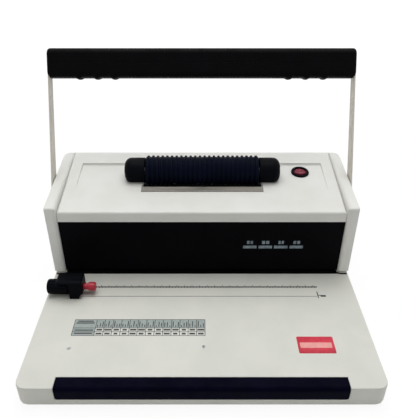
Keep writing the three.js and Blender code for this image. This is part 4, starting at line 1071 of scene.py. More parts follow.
@dataclass
class Table:
    """The table with its printed scale and chart, the drawer under it and the feet."""

    shop: Workshop
    ink: float = 0.05
    line: float = 0.7
    # The scale: a bold line with ticks, a thin line before it, and three marks at their end.
    scale_left: float = -152.8
    scale_right: float = 152.3
    scale_y: float = -8.57
    scale_line: float = 1.5
    rule_y: float = -26.57
    rule_right: float = 149.0
    tick_pitch: float = 2.0
    tick_half: float = 0.5
    tick_short: float = 1.9
    tick_tall: float = 3.4
    end_marks: tuple[Strip, ...] = (
        (0.6, 1.9, -3.4, 9.0),
        (1.9, 6.4, 1.4, 2.6),
        (4.6, 11.4, -0.8, 2.4),
    )
    # The chart: its outline, its rows and columns, and the strokes and dashes in a column.
    chart_left: float = -154.0
    chart_right: float = 4.0
    chart_low: float = -94.47
    chart_high: float = -68.27
    chart_split: float = -82.27
    chart_header: float = -127.3
    chart_columns: int = 13
    stroke_pitch: float = 3.1
    stroke_half: float = 0.55
    stroke_foot: float = 1.8
    stroke_tall: float = 9.6
    dash_half: float = 1.3
    dash_rises: Flat = (3.2, 3.0)
    dash_reaches: Flat = (4.3, 3.6)
    header_half: float = 0.9
    # The red label with its pale bar.
    label_place: Strip = (110.8, 153.2, -121.6, -96.2)
    label_corner: float = 1.5
    label_height: float = 0.12
    label_bar: Strip = (113.6, 150.2, -113.4, -105.4)
    bar_rise: float = 0.1
    bar_height: float = 0.06
    # Painted shade in the throat, and a painted shadow band along the table's raised middle.
    throat_shade_height: float = 0.15
    throat_shade_inset: float = 0.4
    throat_shade_gap: float = 0.5
    shadow_line_height: float = 0.16
    shadow_line_half: float = 198.4
    shadow_line_proud: float = 0.7
    shadow_line_depth: float = 3.4
    border_out: float = 190.4
    border_in: float = 187.0
    border_drop: float = 0.8
    # The two small screws: place, radius, height and slot.
    screws: tuple[Flat, ...] = ((-152.4, -114.2), (2.3, -111.9))
    screw_radius: float = 2.1
    screw_height: float = 0.5
    slot_level: float = 0.25
    slot_half: float = 0.35
    # The feet: the height of their pad, and their stem's radius.
    foot_top: float = 3.7
    foot_stem: float = 2.8

    def build(self) -> None:
        """Dresses the table and the drawer, prints the table and turns the feet."""
        self.shop.dress(TABLE_PAINT, ["table_cover"], 0.5)
        runners = ["drawer_runner_left", "drawer_runner_right"]
        self.shop.dress(GREY_PAINT, ["base_plate", "chip_drawer"], 0.2)
        self.shop.dress(STEEL, runners, 0.2)
        self.shop.dress(DRAWER_PLASTIC, ["drawer_front"], 0.3)
        # Two dark bands stand for shade: painted shade in the throat, and a painted shadow under
        # the body's front edge.
        self._throat_shade()
        self._shadow_line()
        self._scale()
        self._chart()
        self._label()
        for i, place in enumerate(self.screws):
            self._table_screw(i, place)
        for end in ("front", "rear"):
            for side in Side:
                self._foot(f"foot_{end}_{side.word}")

    @property
    def level(self) -> float:
        """The table's top."""
        return span("table_cover")[1].z

    @property
    def shadow_line_front(self) -> float:
        """The painted shadow band's front edge, a little before the side covers."""
        return span("side_cover_left")[0].y - self.shadow_line_proud

    def _throat_shade(self) -> None:
        """Lays a dark strip under the panel, over which the sheets slide in, as painted shade."""
        low, high = span("front_panel")
        inset = self.throat_shade_inset
        rear = span("stripper_plate")[0].y - self.throat_shade_gap
        place = (low.x + inset, high.x - inset, self.shadow_line_front + self.shadow_line_depth, rear)
        strip = bars("throat_painted_shade", [place], self.level, self.throat_shade_height)
        self.shop.fit(strip, Body.BASE, PAINTED_SHADE_BLACK, edge=0)

    def _shadow_line(self) -> None:
        """Lays a dark band that follows the table's top under the body's front edge: painted
        shadow.
        """
        half = [self.shadow_line_half, self.border_out, self.border_in]
        drops = [self.border_drop, self.border_drop, 0.0]
        path = [(-x, -drop) for x, drop in zip(half, drops)]
        path += [(-x, z) for x, z in path[::-1]]
        section = [(x, self.level + z) for x, z in path]
        section += [(x, z + self.shadow_line_height) for x, z in section[::-1]]
        front = self.shadow_line_front
        rings = [[(x, y, z) for x, z in section] for y in (front, front + self.shadow_line_depth)]
        self.shop.fit(lofted("body_painted_shadow", rings), Body.BASE, PAINTED_SHADE_BLACK, edge=0)

    def _scale(self) -> None:
        """Prints the scale's ticks and the two lines that run along the table."""
        half = self.line / 2
        bold = self.scale_line / 2
        boxes = [(self.scale_left, self.scale_right, self.scale_y - bold, self.scale_y + bold)]
        boxes += [(self.scale_left, self.rule_right, self.rule_y - half, self.rule_y + half)]
        steps = int((self.scale_right - self.scale_left) / self.tick_pitch)
        for i in range(steps + 1):
            x = self.scale_left + self.tick_pitch * i
            tall = self.tick_tall if i % 5 == 0 else self.tick_short
            low = self.scale_y - (self.tick_short if i % 2 else 0.0)
            boxes.append((x - self.tick_half, x + self.tick_half, low, self.scale_y + tall))
        x, y = self.rule_right, self.rule_y
        boxes += [(x + x0, x + x1, y + y0, y + y1) for x0, x1, y0, y1 in self.end_marks]
        prints = bars("table_scale", boxes, self.level, self.ink)
        self.shop.fit(prints, Body.BASE, BLACK_INK, edge=0)

    def _chart(self) -> None:
        """Prints the chart's ruled cells, tinted at the top and left, with plain dashes in them."""
        half = self.line / 2
        left, right, low, high = self.chart_left, self.chart_right, self.chart_low, self.chart_high
        header, split = self.chart_header, self.chart_split
        third = (low + split) / 2
        boxes = [(left, right, y - half, y + half) for y in (low, third, split, high)]
        boxes += [(x - half, x + half, low, high) for x in (left, right)]
        step = (right - header) / self.chart_columns
        for i in range(self.chart_columns):
            x = header + i * step
            boxes.append((x - half, x + half, low, high))
            boxes += self._column(i, x + step / 2, (third, low))
        middle, thick = (left + header) / 2, self.header_half
        lines = ((high - 2.8, 9.5), (high - 5.8, 11.0), (third + 2.6, 11.2), (low + 3.6, 10.8))
        boxes += [(middle - reach, middle + reach, y - thick, y + thick) for y, reach in lines]
        shades = [(left, right, split, high), (left, header, low, split)]
        tint = bars("chart_tint", shades, self.level, self.ink / 2)
        self.shop.fit(tint, Body.BASE, TINT_INK, edge=0)
        prints = bars("table_chart", boxes, self.level, self.ink)
        self.shop.fit(prints, Body.BASE, BLACK_INK, edge=0)

    def _column(self, number: int, middle: float, rows: Flat) -> list[Strip]:
        """Gives one column's three upright strokes and two dashes, a little different in each.

        Args:
            number: the column's number.
            middle: its middle.
            rows: the lower edges of its two lower rows.

        Returns:
            The bars.
        """
        boxes = []
        for k in (-1, 0, 1):
            x, thick = middle + self.stroke_pitch * k, self.stroke_half
            foot = self.chart_split + self.stroke_foot
            share = 0.62 + 0.38 * math.sin(1.9 * number + 2.3 * k)
            boxes.append((x - thick, x + thick, foot, foot + self.stroke_tall * share))
        for row, (low, rise, reach) in enumerate(zip(rows, self.dash_rises, self.dash_reaches)):
            half = reach * (0.8 + 0.2 * math.sin(1.7 * number + row))
            y, thick = low + rise, self.dash_half
            boxes.append((middle - half, middle + half, y - thick, y + thick))
        return boxes

    def _label(self) -> None:
        """Sticks a plain red label with a pale bar at the table's right."""
        x0, x1, y0, y1 = self.label_place
        outline = rounded_rectangle(x1 - x0, y1 - y0, self.label_corner)
        x, y = (x0 + x1) / 2, (y0 + y1) / 2
        levels = (self.level, self.level + self.label_height)
        rings = [[(x + u, y + v, z) for u, v in outline] for z in levels]
        self.shop.fit(lofted("plain_label", rings), Body.BASE, RED_LABEL, edge=0)
        bar = bars("label_bar", [self.label_bar], self.level + self.bar_rise, self.bar_height)
        self.shop.fit(bar, Body.BASE, PINK_INK, edge=0)

    def _table_screw(self, number: int, place: Flat) -> None:
        """Sets a small flat screw head in the table, with a slot across it.

        Args:
            number: the screw's number.
            place: its X and Y.
        """
        radius, height = self.screw_radius, self.screw_height
        dome = [(height - u * 0.5, radius - v) for u, v in round_off(0.5)]
        profile = [(0.0, 0.0), (0.0, radius), *dome[::-1], (height, 0.0)]
        head = turned(f"table_screw_{number + 1}", profile, 32)
        half = self.slot_half
        carve(head, box_blank("slot", (self.slot_level, -half, -3), (1, half, 3)))
        turn = rotation(-90, "Y") @ Matrix.Rotation(0.6 + number, 4, "X")
        move(head, shift(*place, self.level) @ turn)
        self.shop.fit(head, Body.BASE, STEEL, edge=0)

    def _foot(self, node: str) -> None:
        """Turns one rubber foot with two grooves round it and a barbed stem.

        Args:
            node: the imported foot.
        """
        low, high = span(node)
        centre = (low + high) / 2
        radius = (high.x - low.x) / 2
        top, stem = self.foot_top, self.foot_stem
        profile = [(0.0, 0.0), (0.0, radius - 3.2), (0.5, radius - 3.0), (0.5, radius - 2.2)]
        profile += [(0.0, radius - 2.0), (0.0, radius - 1.0), (0.3, radius - 0.3), (1.0, radius)]
        profile += [(top - 0.4, radius), (top, radius - 0.4), (top, stem)]
        profile += [(5.8, stem), (5.8, 3.8), (7.0, 3.4), (high.z, 1.4), (high.z, 0.0)]
        foot = turned(node + "_turned", profile, 48)
        move(foot, shift(centre.x, centre.y, 0) @ rotation(-90, "Y"))
        self.shop.fit(foot, Body.BASE, FOOT_RUBBER, [node], 0)


@dataclass
class Handle:
    """The U-shaped handle: arms, grip, bolts and the shaft that carries them."""

    shop: Workshop
    # The grip in the handle's own frame, and how far that frame leans back.
    lean: float = 25.3
    length: float = 406.6
    reach: float = 214.0
    height: float = 38.0
    depth: float = 24.0
    corner: float = 8.0
    end_round: float = 4.0
    stations: int = 260
    parting: float = 0.35
    # The finger bumps, at shares of half its length, from a share of its lower half down.
    bump_shares: tuple[float, ...] = (0.57, 0.684, 0.8)
    bump_radius: float = 7.2
    bump_proud: float = 1.8
    bump_start: float = 0.35
    # The slots for the arms.
    slot_start: float = 200.6
    slot_half: float = 7.8
    slot_top: float = 226.3
    # The pivot bolts.
    bolt_shank: float = 2.2
    bolt_radius: float = 7.0
    bolt_head: float = 3.2
    bolt_round: float = 2.2
    socket_radius: float = 2.5
    socket_depth: float = 2.0

    def build(self) -> None:
        """Makes the grip and the bolts, and dresses the arms and the shaft."""
        self.shop.dress(ARM_PAINT, ["handle_arm_left", "handle_arm_right"], 0.4)
        self.shop.dress(STEEL, ["handle_shaft", "stop_collar"], 0.2)
        self.shop.dress(TOOL_STEEL, ["pinion_left", "pinion_right"], 0.1)
        self._grip()
        for side in Side:
            self._bolt(side)

    @property
    def place(self) -> Matrix:
        """Where the handle's own frame lies at rest: its pivot, leant back."""
        return shift(*hinge_place("handle_hinge")) @ rotation(-self.lean, "X")

    def _bump(self, x: float) -> float:
        """Gives how far the grip's underside swells for the fingers.

        Args:
            x: the place along the grip.

        Returns:
            The swell.
        """
        best = 0.0
        for share in self.bump_shares:
            away = abs(abs(x) - share * self.length / 2)
            if away < self.bump_radius:
                rise = math.sqrt(self.bump_radius**2 - away**2) - self.bump_radius
                best = max(best, rise + self.bump_proud)
        return best

    def _ring(self, x: float, inset: float) -> list[Point]:
        """Gives the grip's outline at a station, drawn down at the bottom by the bumps.

        Args:
            x: the station.
            inset: how far the outline has drawn in, near an end.

        Returns:
            The outline's points.
        """
        corner = max(self.corner - inset, 1.0)
        outline = rounded_rectangle(self.depth - 2 * inset, self.height - 2 * inset, corner, 7)
        drop = self._bump(x)
        ring = []
        for y, z in outline:
            low = max(0.0, -z / (self.height / 2) - self.bump_start) / (1 - self.bump_start)
            ring.append((x, y, self.reach + z - drop * low))
        return ring

    def _grip(self) -> None:
        """Lofts the grip along X, with round ends, finger bumps and slots for the arms."""
        half = self.length / 2
        inner = half - self.end_round
        stations = [(-half + u, v) for u, v in round_off(self.end_round)]
        steps = range(1, self.stations)
        stations += [(-inner + 2 * inner * i / self.stations, 0.0) for i in steps]
        stations += [(half - u, v) for u, v in round_off(self.end_round)][::-1]
        grip = lofted("handle_bar", [self._ring(x, inset) for x, inset in stations])
        cuts = []
        line = self.parting
        for edge in (-self.depth / 2, self.depth / 2):
            low = (-half - 1, edge - line, self.reach - line)
            cuts.append(box_blank("groove", low, (half + 1, edge + line, self.reach + line)))
        for side in Side:
            near, far = sorted((side.value * self.slot_start, side.value * (half + 5)))
            low = (near, -self.slot_half, self.reach - self.height)
            cuts.append(box_blank("slot", low, (far, self.slot_half, self.slot_top)))
        carve(grip, *cuts)
        move(grip, self.place)
        self.shop.fit(grip, Body.HANDLE, GRIP_PLASTIC, ["handle_grip"], 0.3)

    def _bolt(self, side: Side) -> None:
        """Turns one pivot bolt with a domed head and a six-sided socket.

        Args:
            side: the bolt's side.
        """
        node = f"pivot_bolt_{side.word}"
        inner, outer = reach_of(node)
        head, radius, shank = outer - self.bolt_head, self.bolt_radius, self.bolt_shank
        dome = [(outer - u, radius - v) for u, v in round_off(self.bolt_round)]
        profile = [(inner, 0.0), (inner, shank), (head, shank), (head, radius)]
        bolt = turned(node + "_turned", [*profile, *dome[::-1], (outer, 0.0)], 48)
        carve(bolt, rod("socket", outer - self.socket_depth, outer + 1, self.socket_radius, 6))
        set_at_side(bolt, side, self.place)
        self.shop.fit(bolt, Body.HANDLE, PLATED_STEEL, [node], 0.15)


@dataclass
class Inserter:
    """The ribbed roller on the hood with its end housings, belt drive and shelf."""

    shop: Workshop
    # The roller: its ribs, their depth, and how far they stand proud of the solid's.
    ribs: int = 24
    groove: float = 1.9
    rib_rise: float = 0.8
    bore: float = 4.5
    sides: int = 72
    # The housings: how far they pass the solids, their round end, and their hollow.
    housing_rise: float = 0.5
    housing_reach: float = 1.9
    housing_round: float = 9.4
    wall: float = 5.5
    cavity: float = 13.2
    bush_bore: float = 7.3
    bush_depth: float = 4.6
    # The hood under them: its front edge's Y and Z, its slope, and the recess.
    hood_edge: Flat = (23.028, 127.3)
    hood_slope: float = 9.625
    recess_front: float = 65.728
    recess_rise: float = 0.3
    recess_length: float = 60.0
    recess_tilt: float = 6.82
    # The way for the belt.
    belt_half: float = 5.0
    belt_reach: float = 12.1
    # The folded strip before the roller, and the painted shade cap on its rear edge.
    shelf_gauge: float = 1.42
    shelf_fold: float = 1.2
    shelf_reach: float = 2.1
    shelf_notch: float = 2.1
    shade_cap_width: float = 4.4

    def build(self) -> None:
        """Makes the roller and the housings, and dresses the drive."""
        self._roller()
        for side in Side:
            self._housing(side)
        self._shelf()
        self.shop.dress(STEEL, ["roller_shaft", "motor_shaft", "motor_bracket"], 0.2)
        self.shop.dress(BLACK_PLASTIC, ["roller_pulley", "motor_pulley"], 0.2)
        self.shop.dress(FOOT_RUBBER, ["drive_belt"], 0.1)
        self.shop.dress(PANEL_PAINT, ["motor_body"], 0.3)
        self.shop.dress(BRONZE, ["roller_bush_left", "roller_bush_right"], 0.1)

    @property
    def slope(self) -> float:
        """How much the hood rises per millimetre."""
        return math.tan(math.radians(self.hood_slope))

    def _shelf(self) -> None:
        """Folds the strip in front of the roller, and caps its rear edge with painted shade."""
        low, high = span("shelf_plate")
        gauge, notch = self.shelf_gauge, self.shelf_notch
        front, rear = low.y - self.shelf_reach, high.y
        inner = rear - self.shelf_fold

        def under(y: float) -> float:
            """Height of the strip's underside, which lies along the hood's top."""
            return high.z - gauge + self.slope * (y - rear)

        def across(section: list[Flat], inset: float) -> list[list[Point]]:
            """Gives a section in Y and Z at both ends of the strip."""
            return [[(x, y, z) for y, z in section] for x in (low.x + inset, high.x - inset)]

        section = [(front, under(front)), (inner, under(inner)), (inner, low.z), (rear, low.z)]
        section += [(rear, under(rear) + gauge - 0.6), (rear - 0.6, under(rear) + gauge - 0.1)]
        section += [(front + 0.5, under(front + 0.5) + gauge), (front, under(front) + gauge - 0.6)]
        strip = lofted("folded_shelf", across(section, 0.0))
        foot = under(inner) - 0.05
        for x0, x1 in ((low.x - 5, low.x + notch), (high.x - notch, high.x + 5)):
            carve(strip, box_blank("notch", (x0, inner - 0.3, low.z - 5), (x1, rear + 5, foot)))
        self.shop.fit(strip, Body.BASE, PLATED_STEEL, ["shelf_plate"], 0.2)
        # The dark cap is painted shade, where the roller shades the strip's rear edge.
        start = rear - self.shade_cap_width
        cap = [(start, under(start) + gauge), (rear + 0.1, under(rear) + gauge - 0.5)]
        cap += [(rear + 0.1, foot), (rear + 0.5, foot), (rear + 0.5, under(rear) + gauge)]
        cap += [(rear - 0.2, under(rear) + gauge + 0.25), (start, under(start) + gauge + 0.2)]
        painted_cap = lofted("shelf_painted_shade", across(cap, notch + 0.3))
        self.shop.fit(painted_cap, Body.BASE, PAINTED_SHADE_BLACK, edge=0)

    def _roller(self) -> None:
        """Turns the rubber roller with its ribs."""
        low, high = span("inserter_roller")
        radius, half = (high.z - low.z) / 2 + self.rib_rise, (high.x - low.x) / 2
        pitch = 2 * half / self.ribs
        valley = radius - self.groove
        profile = [(-half, self.bore), (-half, valley - 0.5), (-half + 0.4, valley)]
        shape = [(-0.30, 0.0), (-0.25, 0.6), (-0.2, 0.92), (-0.13, 1.0)]
        shape += [(-x, height) for x, height in shape[::-1]]
        for i in range(self.ribs):
            middle = -half + (i + 0.5) * pitch
            profile += [(middle + x * pitch, valley + h * self.groove) for x, h in shape]
        profile += [(half - 0.4, valley), (half, valley - 0.5), (half, self.bore)]
        roller = turned("ribbed_roller", profile, self.sides)
        move(roller, shift(*((low + high) / 2)))
        self.shop.fit(roller, Body.ROLLER, ROLLER_RUBBER, ["inserter_roller"], 0)

    def _housing(self, side: Side) -> None:
        """Turns one end housing, hollow, and cuts it where the hood carries it.

        Args:
            side: the roller's end.
        """
        node = f"inserter_housing_{side.word}"
        axis = hinge_place("roller_spin")
        middle = sum(corner.x for corner in span("inserter_roller")) / 2
        inner, outer = reach_of(node, middle)
        radius = span(node)[1].z - axis.z + self.housing_rise
        deep = outer - self.wall
        outer += self.housing_reach
        rim = [(inner + u, radius - v) for u, v in round_off(1.0)]
        dome = [(outer - u, radius - v) for u, v in round_off(self.housing_round, 8)]
        profile = [(inner, 0.0), *rim, *dome[::-1], (outer, 0.0)]
        shell = turned(node + "_turned", profile, self.sides)
        bush = deep + self.bush_depth
        hollow = [(inner - 5, 0.0), (inner - 5, self.cavity), (deep, self.cavity)]
        hollow += [(deep, self.bush_bore), (bush, self.bush_bore), (bush, 0.0)]
        carve(shell, turned("cavity", hollow, self.sides))
        set_at_side(shell, side, shift(middle, axis.y, axis.z))
        cuts = [self._recess()]
        if side is Side.RIGHT:
            belt = sum(corner.x for corner in span("drive_belt")) / 2
            half, reach = self.belt_half, self.belt_reach
            low = (belt - half, axis.y - reach, axis.z - 40)
            cuts.append(box_blank("belt_way", low, (belt + half, axis.y + reach, axis.z)))
        carve(shell, *cuts)
        self.shop.fit(shell, Body.BASE, BLACK_PLASTIC, [node], 0.25)

    def _recess(self) -> bpy.types.Object:
        """Makes a slab whose top is the floor of the hood's recess.

        Returns:
            The slab.
        """
        slab = box_blank("seat", (-250, 0, -40), (250, self.recess_length + 20, 0))
        y, z = self.hood_edge
        level = z + (self.recess_front - y) * self.slope + self.recess_rise
        return move(slab, shift(0, self.recess_front, level) @ rotation(self.recess_tilt, "X"))


@dataclass
class Switch:
    """The round rocker switch beside the inserter."""

    shop: Workshop
    tilt: float = 6.82
    rest: float = 9.0
    # The bezel, as levels over the rocker's pin: rim, shoulder, floor and bottom.
    rim: float = 12.4
    rim_top: float = 1.7
    rim_round: float = 1.4
    barrel: float = 10.6
    shoulder: float = -0.3
    bottom: float = -13.3
    cavity: float = 8.7
    cavity_floor: float = -5.3
    pin_way: float = 1.4
    # The rocker: its cap's rim as (radius, sink), its dish and its pin.
    rocker: float = 8.0
    cap_rim: tuple[Flat, ...] = ((7.1, 0.0), (7.7, 0.25), (8.0, 0.8))
    cap_level: float = 0.7
    cap_rise: float = 1.1
    cap_foot: float = -2.0
    pin: float = 1.1
    pin_reach: float = 9.7
    sides: int = 64

    def build(self) -> None:
        """Makes the bezel, the rocker and its two marks."""
        self._bezel()
        self._rocker()

    @property
    def place(self) -> Matrix:
        """The switch's own frame: the rocker's axis, square to the hood."""
        return shift(*hinge_place("rocker_hinge")) @ rotation(self.tilt, "X")

    def _bezel(self) -> None:
        """Turns the bezel with a rounded rim, and bores it for the rocker's pin."""
        top, bottom = self.rim_top, self.bottom
        profile = [(bottom, 0.0), (bottom, self.barrel - 0.6), (bottom + 0.6, self.barrel)]
        profile += [(self.shoulder, self.barrel), (self.shoulder, self.rim)]
        profile += [(top - u, self.rim - v) for u, v in round_off(self.rim_round)][::-1]
        profile += [(top, self.cavity + 0.9), (top - 0.7, self.cavity)]
        profile += [(self.cavity_floor, self.cavity), (self.cavity_floor, 0.0)]
        bezel = turned("switch_rim", profile, self.sides)
        move(bezel, rotation(-90, "Y"))
        carve(bezel, rod("pin_way", -10, 10, self.pin_way, 24))
        move(bezel, self.place)
        self.shop.fit(bezel, Body.BASE, BLACK_PLASTIC, ["switch_bezel"], 0.1)

    def _cap_height(self, y: float) -> float:
        """Gives the rocker's upper face: two low slopes that meet over the pin."""
        return self.cap_level + self.cap_rise * (abs(y) / self.rocker) ** 1.3

    def _rocker(self) -> None:
        """Makes the rocker with a dished top, a pin at each side and a mark at each end."""
        rings = []
        for radius, sink in ((TINY * 10, 0.0), (2.0, 0.0), (4.0, 0.0), (6.0, 0.0), *self.cap_rim):
            outline = circle(radius, self.sides)
            rings.append([(x, y, self._cap_height(y) - sink) for x, y in outline])
        for radius in (self.rocker, self.rocker - 0.6, TINY * 10):
            rings.append([(x, y, self.cap_foot) for x, y in circle(radius, self.sides)])
        rocker = lofted("rocker_cap", rings)
        carve(rocker, rod("pin", -self.pin_reach, self.pin_reach, self.pin, 24), joins=True)
        turn = self.place @ rotation(-self.rest, "X")
        move(rocker, turn)
        self.shop.fit(rocker, Body.ROCKER, ROCKER_PLASTIC, ["switch_rocker"], 0)
        stroke = bars("mark", [(-0.3, 0.3, 3.0, 5.8)], 1.05, 0.36)
        ring = turned("ring", [(1.05, 1.0), (1.05, 1.5), (1.42, 1.5), (1.42, 1.0)], 32)
        move(ring, shift(0, -4.4, 0) @ rotation(-90, "Y"))
        marks = carve(stroke, ring, joins=True)
        marks.name = "rocker_marks"
        move(marks, turn)
        self.shop.fit(marks, Body.ROCKER, ROSE_INK, edge=0)


@dataclass
class EdgeGuide:
    """The guide at the table's left that a knob moves in and out."""

    shop: Workshop
    # The block, and how much higher it is than the solid.
    crown: float = 2.0
    corner: float = 5.0
    end_round: float = 2.5
    block_length: float = 17.0
    roof: float = 2.8
    foot_inset: float = 5.0
    foot_height: float = 7.0
    # Its holes: the screw's, the stop's round seat and its square way.
    screw_bore: float = 2.8
    seat_bore: float = 4.5
    seat_depth: float = 3.4
    stem_half: float = 3.9
    stem_depth: float = 14.3
    # The knob.
    flutes: int = 14
    flute: float = 1.1
    knob_rise: float = 0.2
    knob_taper: float = 0.5
    knob_gap: float = 0.3
    boss: float = 7.0
    boss_length: float = 1.6
    screw_radius: float = 2.4
    # The stop: its square stem, its neck and its head.
    tail_half: float = 3.5
    tail_length: float = 9.0
    neck: float = 4.1
    neck_length: float = 7.7
    stop_bore_depth: float = 14.0

    def build(self) -> None:
        """Makes the body, the fluted knob and the red stop."""
        self._body()
        self._knob()
        self._stop()

    @property
    def place(self) -> Matrix:
        """The move to the screw's axis."""
        axis = hinge_place("guide_screw_turn")
        return shift(0, axis.y, axis.z)

    def _body(self) -> None:
        """Lofts the body along X, leaves a roof over the knob, and bores it."""
        low, high = span("guide_body")
        high = high + Vector((0, 0, self.crown))
        radius = self.corner
        rims = [(low.x + u, v) for u, v in round_off(self.end_round)]
        rims += [(high.x - u, v) for u, v in round_off(self.end_round)][::-1]
        rings = []
        for x, inset in rims:
            ring = [(x, low.y + inset, low.z), (x, high.y - inset, low.z)]
            for centre, start in ((high.y - radius, 0), (low.y + radius, 90)):
                for i in range(8):
                    turn = math.radians(start + 90 * i / 7)
                    y = centre + (radius - inset) * math.cos(turn)
                    ring.append((x, y, high.z - radius + (radius - inset) * math.sin(turn)))
            rings.append(ring)
        body = lofted("guide_block", rings)
        bore = move(rod("bore", low.x - 5, high.x + 5, self.screw_bore, 32), self.place)
        seat = rod("seat", high.x - self.seat_depth, high.x + 5, self.seat_bore, 48)
        move(seat, self.place)
        half = self.stem_half
        stem = box_blank("stem", (high.x - self.stem_depth, -half, -half), (high.x, half, half))
        move(stem, self.place)
        front, back, under = low.y - 5, high.y + 5, low.z - 5
        block = (high.x - self.block_length, back, high.z - self.roof)
        room = box_blank("knob_room", (low.x - 5, front, under), block)
        inset = (high.x - self.foot_inset, front, under)
        foot = box_blank("foot_cut", inset, (high.x + 5, back, low.z + self.foot_height))
        carve(body, bore, seat, stem, room, foot)
        self.shop.fit(body, Body.BASE, BLACK_PLASTIC, ["guide_body"], 0.4)

    def _knob(self) -> None:
        """Makes the knob with flutes that fade out at its ends, on its screw."""
        low, high = span("guide_knob")
        radius = (high.z - low.z) / 2 + self.knob_rise
        end = span("guide_body")[1].x - self.block_length - self.knob_gap
        long = end - low.x - self.boss_length
        taper, boss = self.knob_taper, self.boss
        # Each row of the knob: how far along it is, its radius, and the flutes' share there.
        rows = [(0.0, 0.0, 0.0), (0.0, radius - taper - 2.4, 0.0)]
        rows += [(0.3, radius - taper - 1.3, 0.1), (0.9, radius - taper - 0.5, 0.5)]
        rows += [(2.2, radius - taper, 1.0)]
        for k in (0.25, 0.5, 0.75, 1.0):
            rows.append((2.2 + (long - 4.2) * k, radius - taper * (1 - k), 1.0))
        rows += [(long - 0.9, radius - 0.2, 0.5), (long - 0.2, radius - 0.9, 0.0)]
        rows += [(long, boss, 0.0)]
        sides = self.flutes * 10
        rings = []
        for along, outer, share in rows:
            ring = []
            for j in range(sides):
                turn = 2 * math.pi * j / sides
                hollow = max(0.0, math.cos(turn * self.flutes)) ** 3
                here = max(outer - self.flute * share * hollow, TINY * 10)
                ring.append((low.x + along, here * math.cos(turn), here * math.sin(turn)))
            rings.append(ring)
        screw = self.screw_radius
        for x, outer in ((end, boss), (end, screw), (high.x, screw), (high.x, TINY * 10)):
            rings.append([(x, y, z) for y, z in circle(outer, sides)])
        knob = lofted("fluted_knob", rings)
        move(knob, self.place)
        self.shop.fit(knob, Body.KNOB, BLACK_PLASTIC, ["guide_knob"], 0)

    def _stop(self) -> None:
        """Turns the red stop with a narrow neck and a round nose, on its square stem."""
        low, high = span("guide_stop")
        radius = (high.z - low.z) / 2
        start, half = low.x + self.tail_length, self.tail_half
        head = start + self.neck_length
        nose = [(high.x - u, radius - v) for u, v in round_off(1.8)]
        heel = [(head + u, radius - v) for u, v in round_off(0.8)]
        profile = [(start, 0.0), (start, self.neck), (head, self.neck)]
        stop = turned("red_stop", [*profile, *heel, *nose[::-1], (high.x, 0.0)], 48)
        stem = box_blank("stem", (low.x, -half, -half), (start + 1, half, half))
        carve(stop, stem, joins=True)
        carve(stop, rod("bore", low.x - 5, low.x + self.stop_bore_depth, self.screw_bore, 32))
        move(stop, self.place)
        self.shop.fit(stop, Body.STOP, RED_PLASTIC, ["guide_stop"], 0.1)


@dataclass
class Works:
    """The frame and the punch set inside, seen only through the gaps."""

    shop: Workshop

    def build(self) -> None:
        """Dresses the frame, the ties, the dies and the racks."""
        frames = ["side_frame_left", "side_frame_right", "tie_front", "tie_rear", "stop_pin"]
        self.shop.dress(STEEL, frames, 0.2)
        tools = ["die_plate", "stripper_plate", "punch_beam", "rack_left", "rack_right"]
        self.shop.dress(TOOL_STEEL, tools, 0.1)
        self.shop.dress(TOOL_STEEL, ["paper_stop"], 0.1)
        self.shop.dress(BRONZE, ["shaft_bush_left", "shaft_bush_right"], 0.1)


# --------------------------------------------------------------------------
# Studio


@dataclass(frozen=True)
class Lamp:
    """A soft square lamp that looks at a point."""

    name: str
    place: Point
    size: float
    power: float
    colour: tuple[float, float, float] = (1.0, 1.0, 1.0)
    target: Point = (0.0, 0.0, 0.1)

    def build(self) -> None:
        """Adds the lamp to the scene."""
        data = bpy.data.lights.new(self.name, "AREA")
        data.shape = "SQUARE"
        data.size = self.size
        data.energy = self.power
        data.color = self.colour
        made = linked(self.name, data)
        made.location = self.place
        aim = Vector(self.target) - Vector(self.place)
        made.rotation_euler = aim.to_track_quat("-Z", "Y").to_euler()


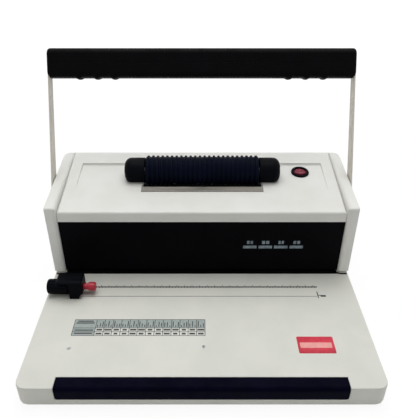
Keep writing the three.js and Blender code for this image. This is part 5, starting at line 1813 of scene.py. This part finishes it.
@dataclass
class Studio:
    """The floor, the world, the lamps and the camera at the photograph's angle."""

    camera_place: Point = (0.0, -0.52167, 0.4786)
    pitch_down: float = 32.42
    focal_pixels: float = 509.8
    centre_x: float = 201.7
    sensor: float = 36.0
    ambient: float = 0.32
    floor_half: float = 6000.0
    floor_grey: float = 0.86
    floor_white: float = 1.05
    floor_glow: float = 0.86
    floor_fade: Flat = (0.3, 1.1)
    lamps: tuple[Lamp, ...] = (
        Lamp("overhead", (0.0, 0.4, 1.55), 1.5, 20.5),
        Lamp("warm_left", (-1.5, -0.5, 0.7), 0.9, 1.6, (1.0, 0.9, 0.8)),
        Lamp("cool_right", (1.5, -0.3, 0.7), 0.9, 1.2, (0.84, 0.92, 1.0)),
    )

    def build(self) -> None:
        """Builds the whole set."""
        self._camera()
        self._world()
        self._floor()
        for lamp in self.lamps:
            lamp.build()
        bpy.context.scene.view_settings.view_transform = "Standard"

    def _camera(self) -> None:
        """Sets the camera where it stood for the photograph."""
        data = bpy.data.cameras.new("camera")
        data.sensor_width = self.sensor
        data.lens = self.focal_pixels * self.sensor / PHOTO_HEIGHT
        data.shift_x = -(self.centre_x - PHOTO_WIDTH / 2) / PHOTO_HEIGHT
        data.clip_start, data.clip_end = 0.01, 20.0
        made = linked("camera", data)
        made.location = self.camera_place
        made.rotation_euler = (math.radians(90 - self.pitch_down), 0.0, 0.0)
        bpy.context.scene.camera = made

    @staticmethod
    def _seen(sheet: Sheet) -> bpy.types.NodeSocket:
        """Gives 1 for rays that come from the camera, a mirror or glass.

        Args:
            sheet: the sheet to work in.

        Returns:
            The value.
        """
        path = sheet.add("LightPath").outputs
        seen = sheet.math("MAXIMUM", path["Is Camera Ray"], path["Is Glossy Ray"])
        return sheet.math("MAXIMUM", seen, path["Is Transmission Ray"])

    def _world(self) -> None:
        """Lights the set evenly, behind a white background."""
        world = bpy.data.worlds.new("white_room")
        world.use_nodes = True
        bpy.context.scene.world = world
        sheet = Sheet(world.node_tree)
        light = world.node_tree.nodes["Background"]
        light.inputs["Color"].default_value = WHITE
        light.inputs["Strength"].default_value = self.ambient
        white = sheet.add("Background", {"Color": WHITE, "Strength": 1.0})
        seen = self._seen(sheet)
        mixed = sheet.add("MixShader", {0: seen, 1: light.outputs[0], 2: white.outputs[0]})
        sheet.join(mixed.outputs[0], world.node_tree.nodes["World Output"].inputs["Surface"])

    def _floor(self) -> None:
        """Lays a pale floor that keeps the machine's shadow."""
        half, grey = self.floor_half, self.floor_grey
        corners = [(-half, -half, 0), (half, -half, 0), (half, half, 0), (-half, half, 0)]
        floor = blank("floor", corners, [(0, 1, 2, 3)])
        material = bpy.data.materials.new("pale_floor")
        material.use_nodes = True
        nodes = material.node_tree.nodes
        nodes.remove(nodes["Principled BSDF"])
        sheet = Sheet(material.node_tree)
        matt = sheet.add("BsdfDiffuse", {"Color": (grey, grey, grey, 1.0)}).outputs[0]
        glow = sheet.add("Emission", {"Color": WHITE, "Strength": self.floor_white}).outputs[0]
        place = sheet.add("TexCoord").outputs["Object"]
        away = sheet.add("VectorMath", {0: place}, operation="LENGTH").outputs["Value"]
        glow_share = sheet.spread(away, *self.floor_fade, self.floor_glow, 1.0)
        share = sheet.math("MULTIPLY", self._seen(sheet), glow_share)
        mixed = sheet.add("MixShader", {0: share, 1: matt, 2: glow}).outputs[0]
        sheet.join(mixed, nodes["Material Output"].inputs["Surface"])
        floor.data.materials.append(material)


def main() -> None:
    """Builds the set and the machine, one sub-assembly after the other."""
    logging.basicConfig(level=logging.INFO, format="%(name)s: %(message)s")
    Studio().build()
    shop = Workshop()
    parts = (Covers, Table, Handle, Inserter, Switch, EdgeGuide, Works)
    for part in parts:
        part(shop).build()
        log.info("%s is built", part.__name__)


if __name__ == "__main__":
    main()
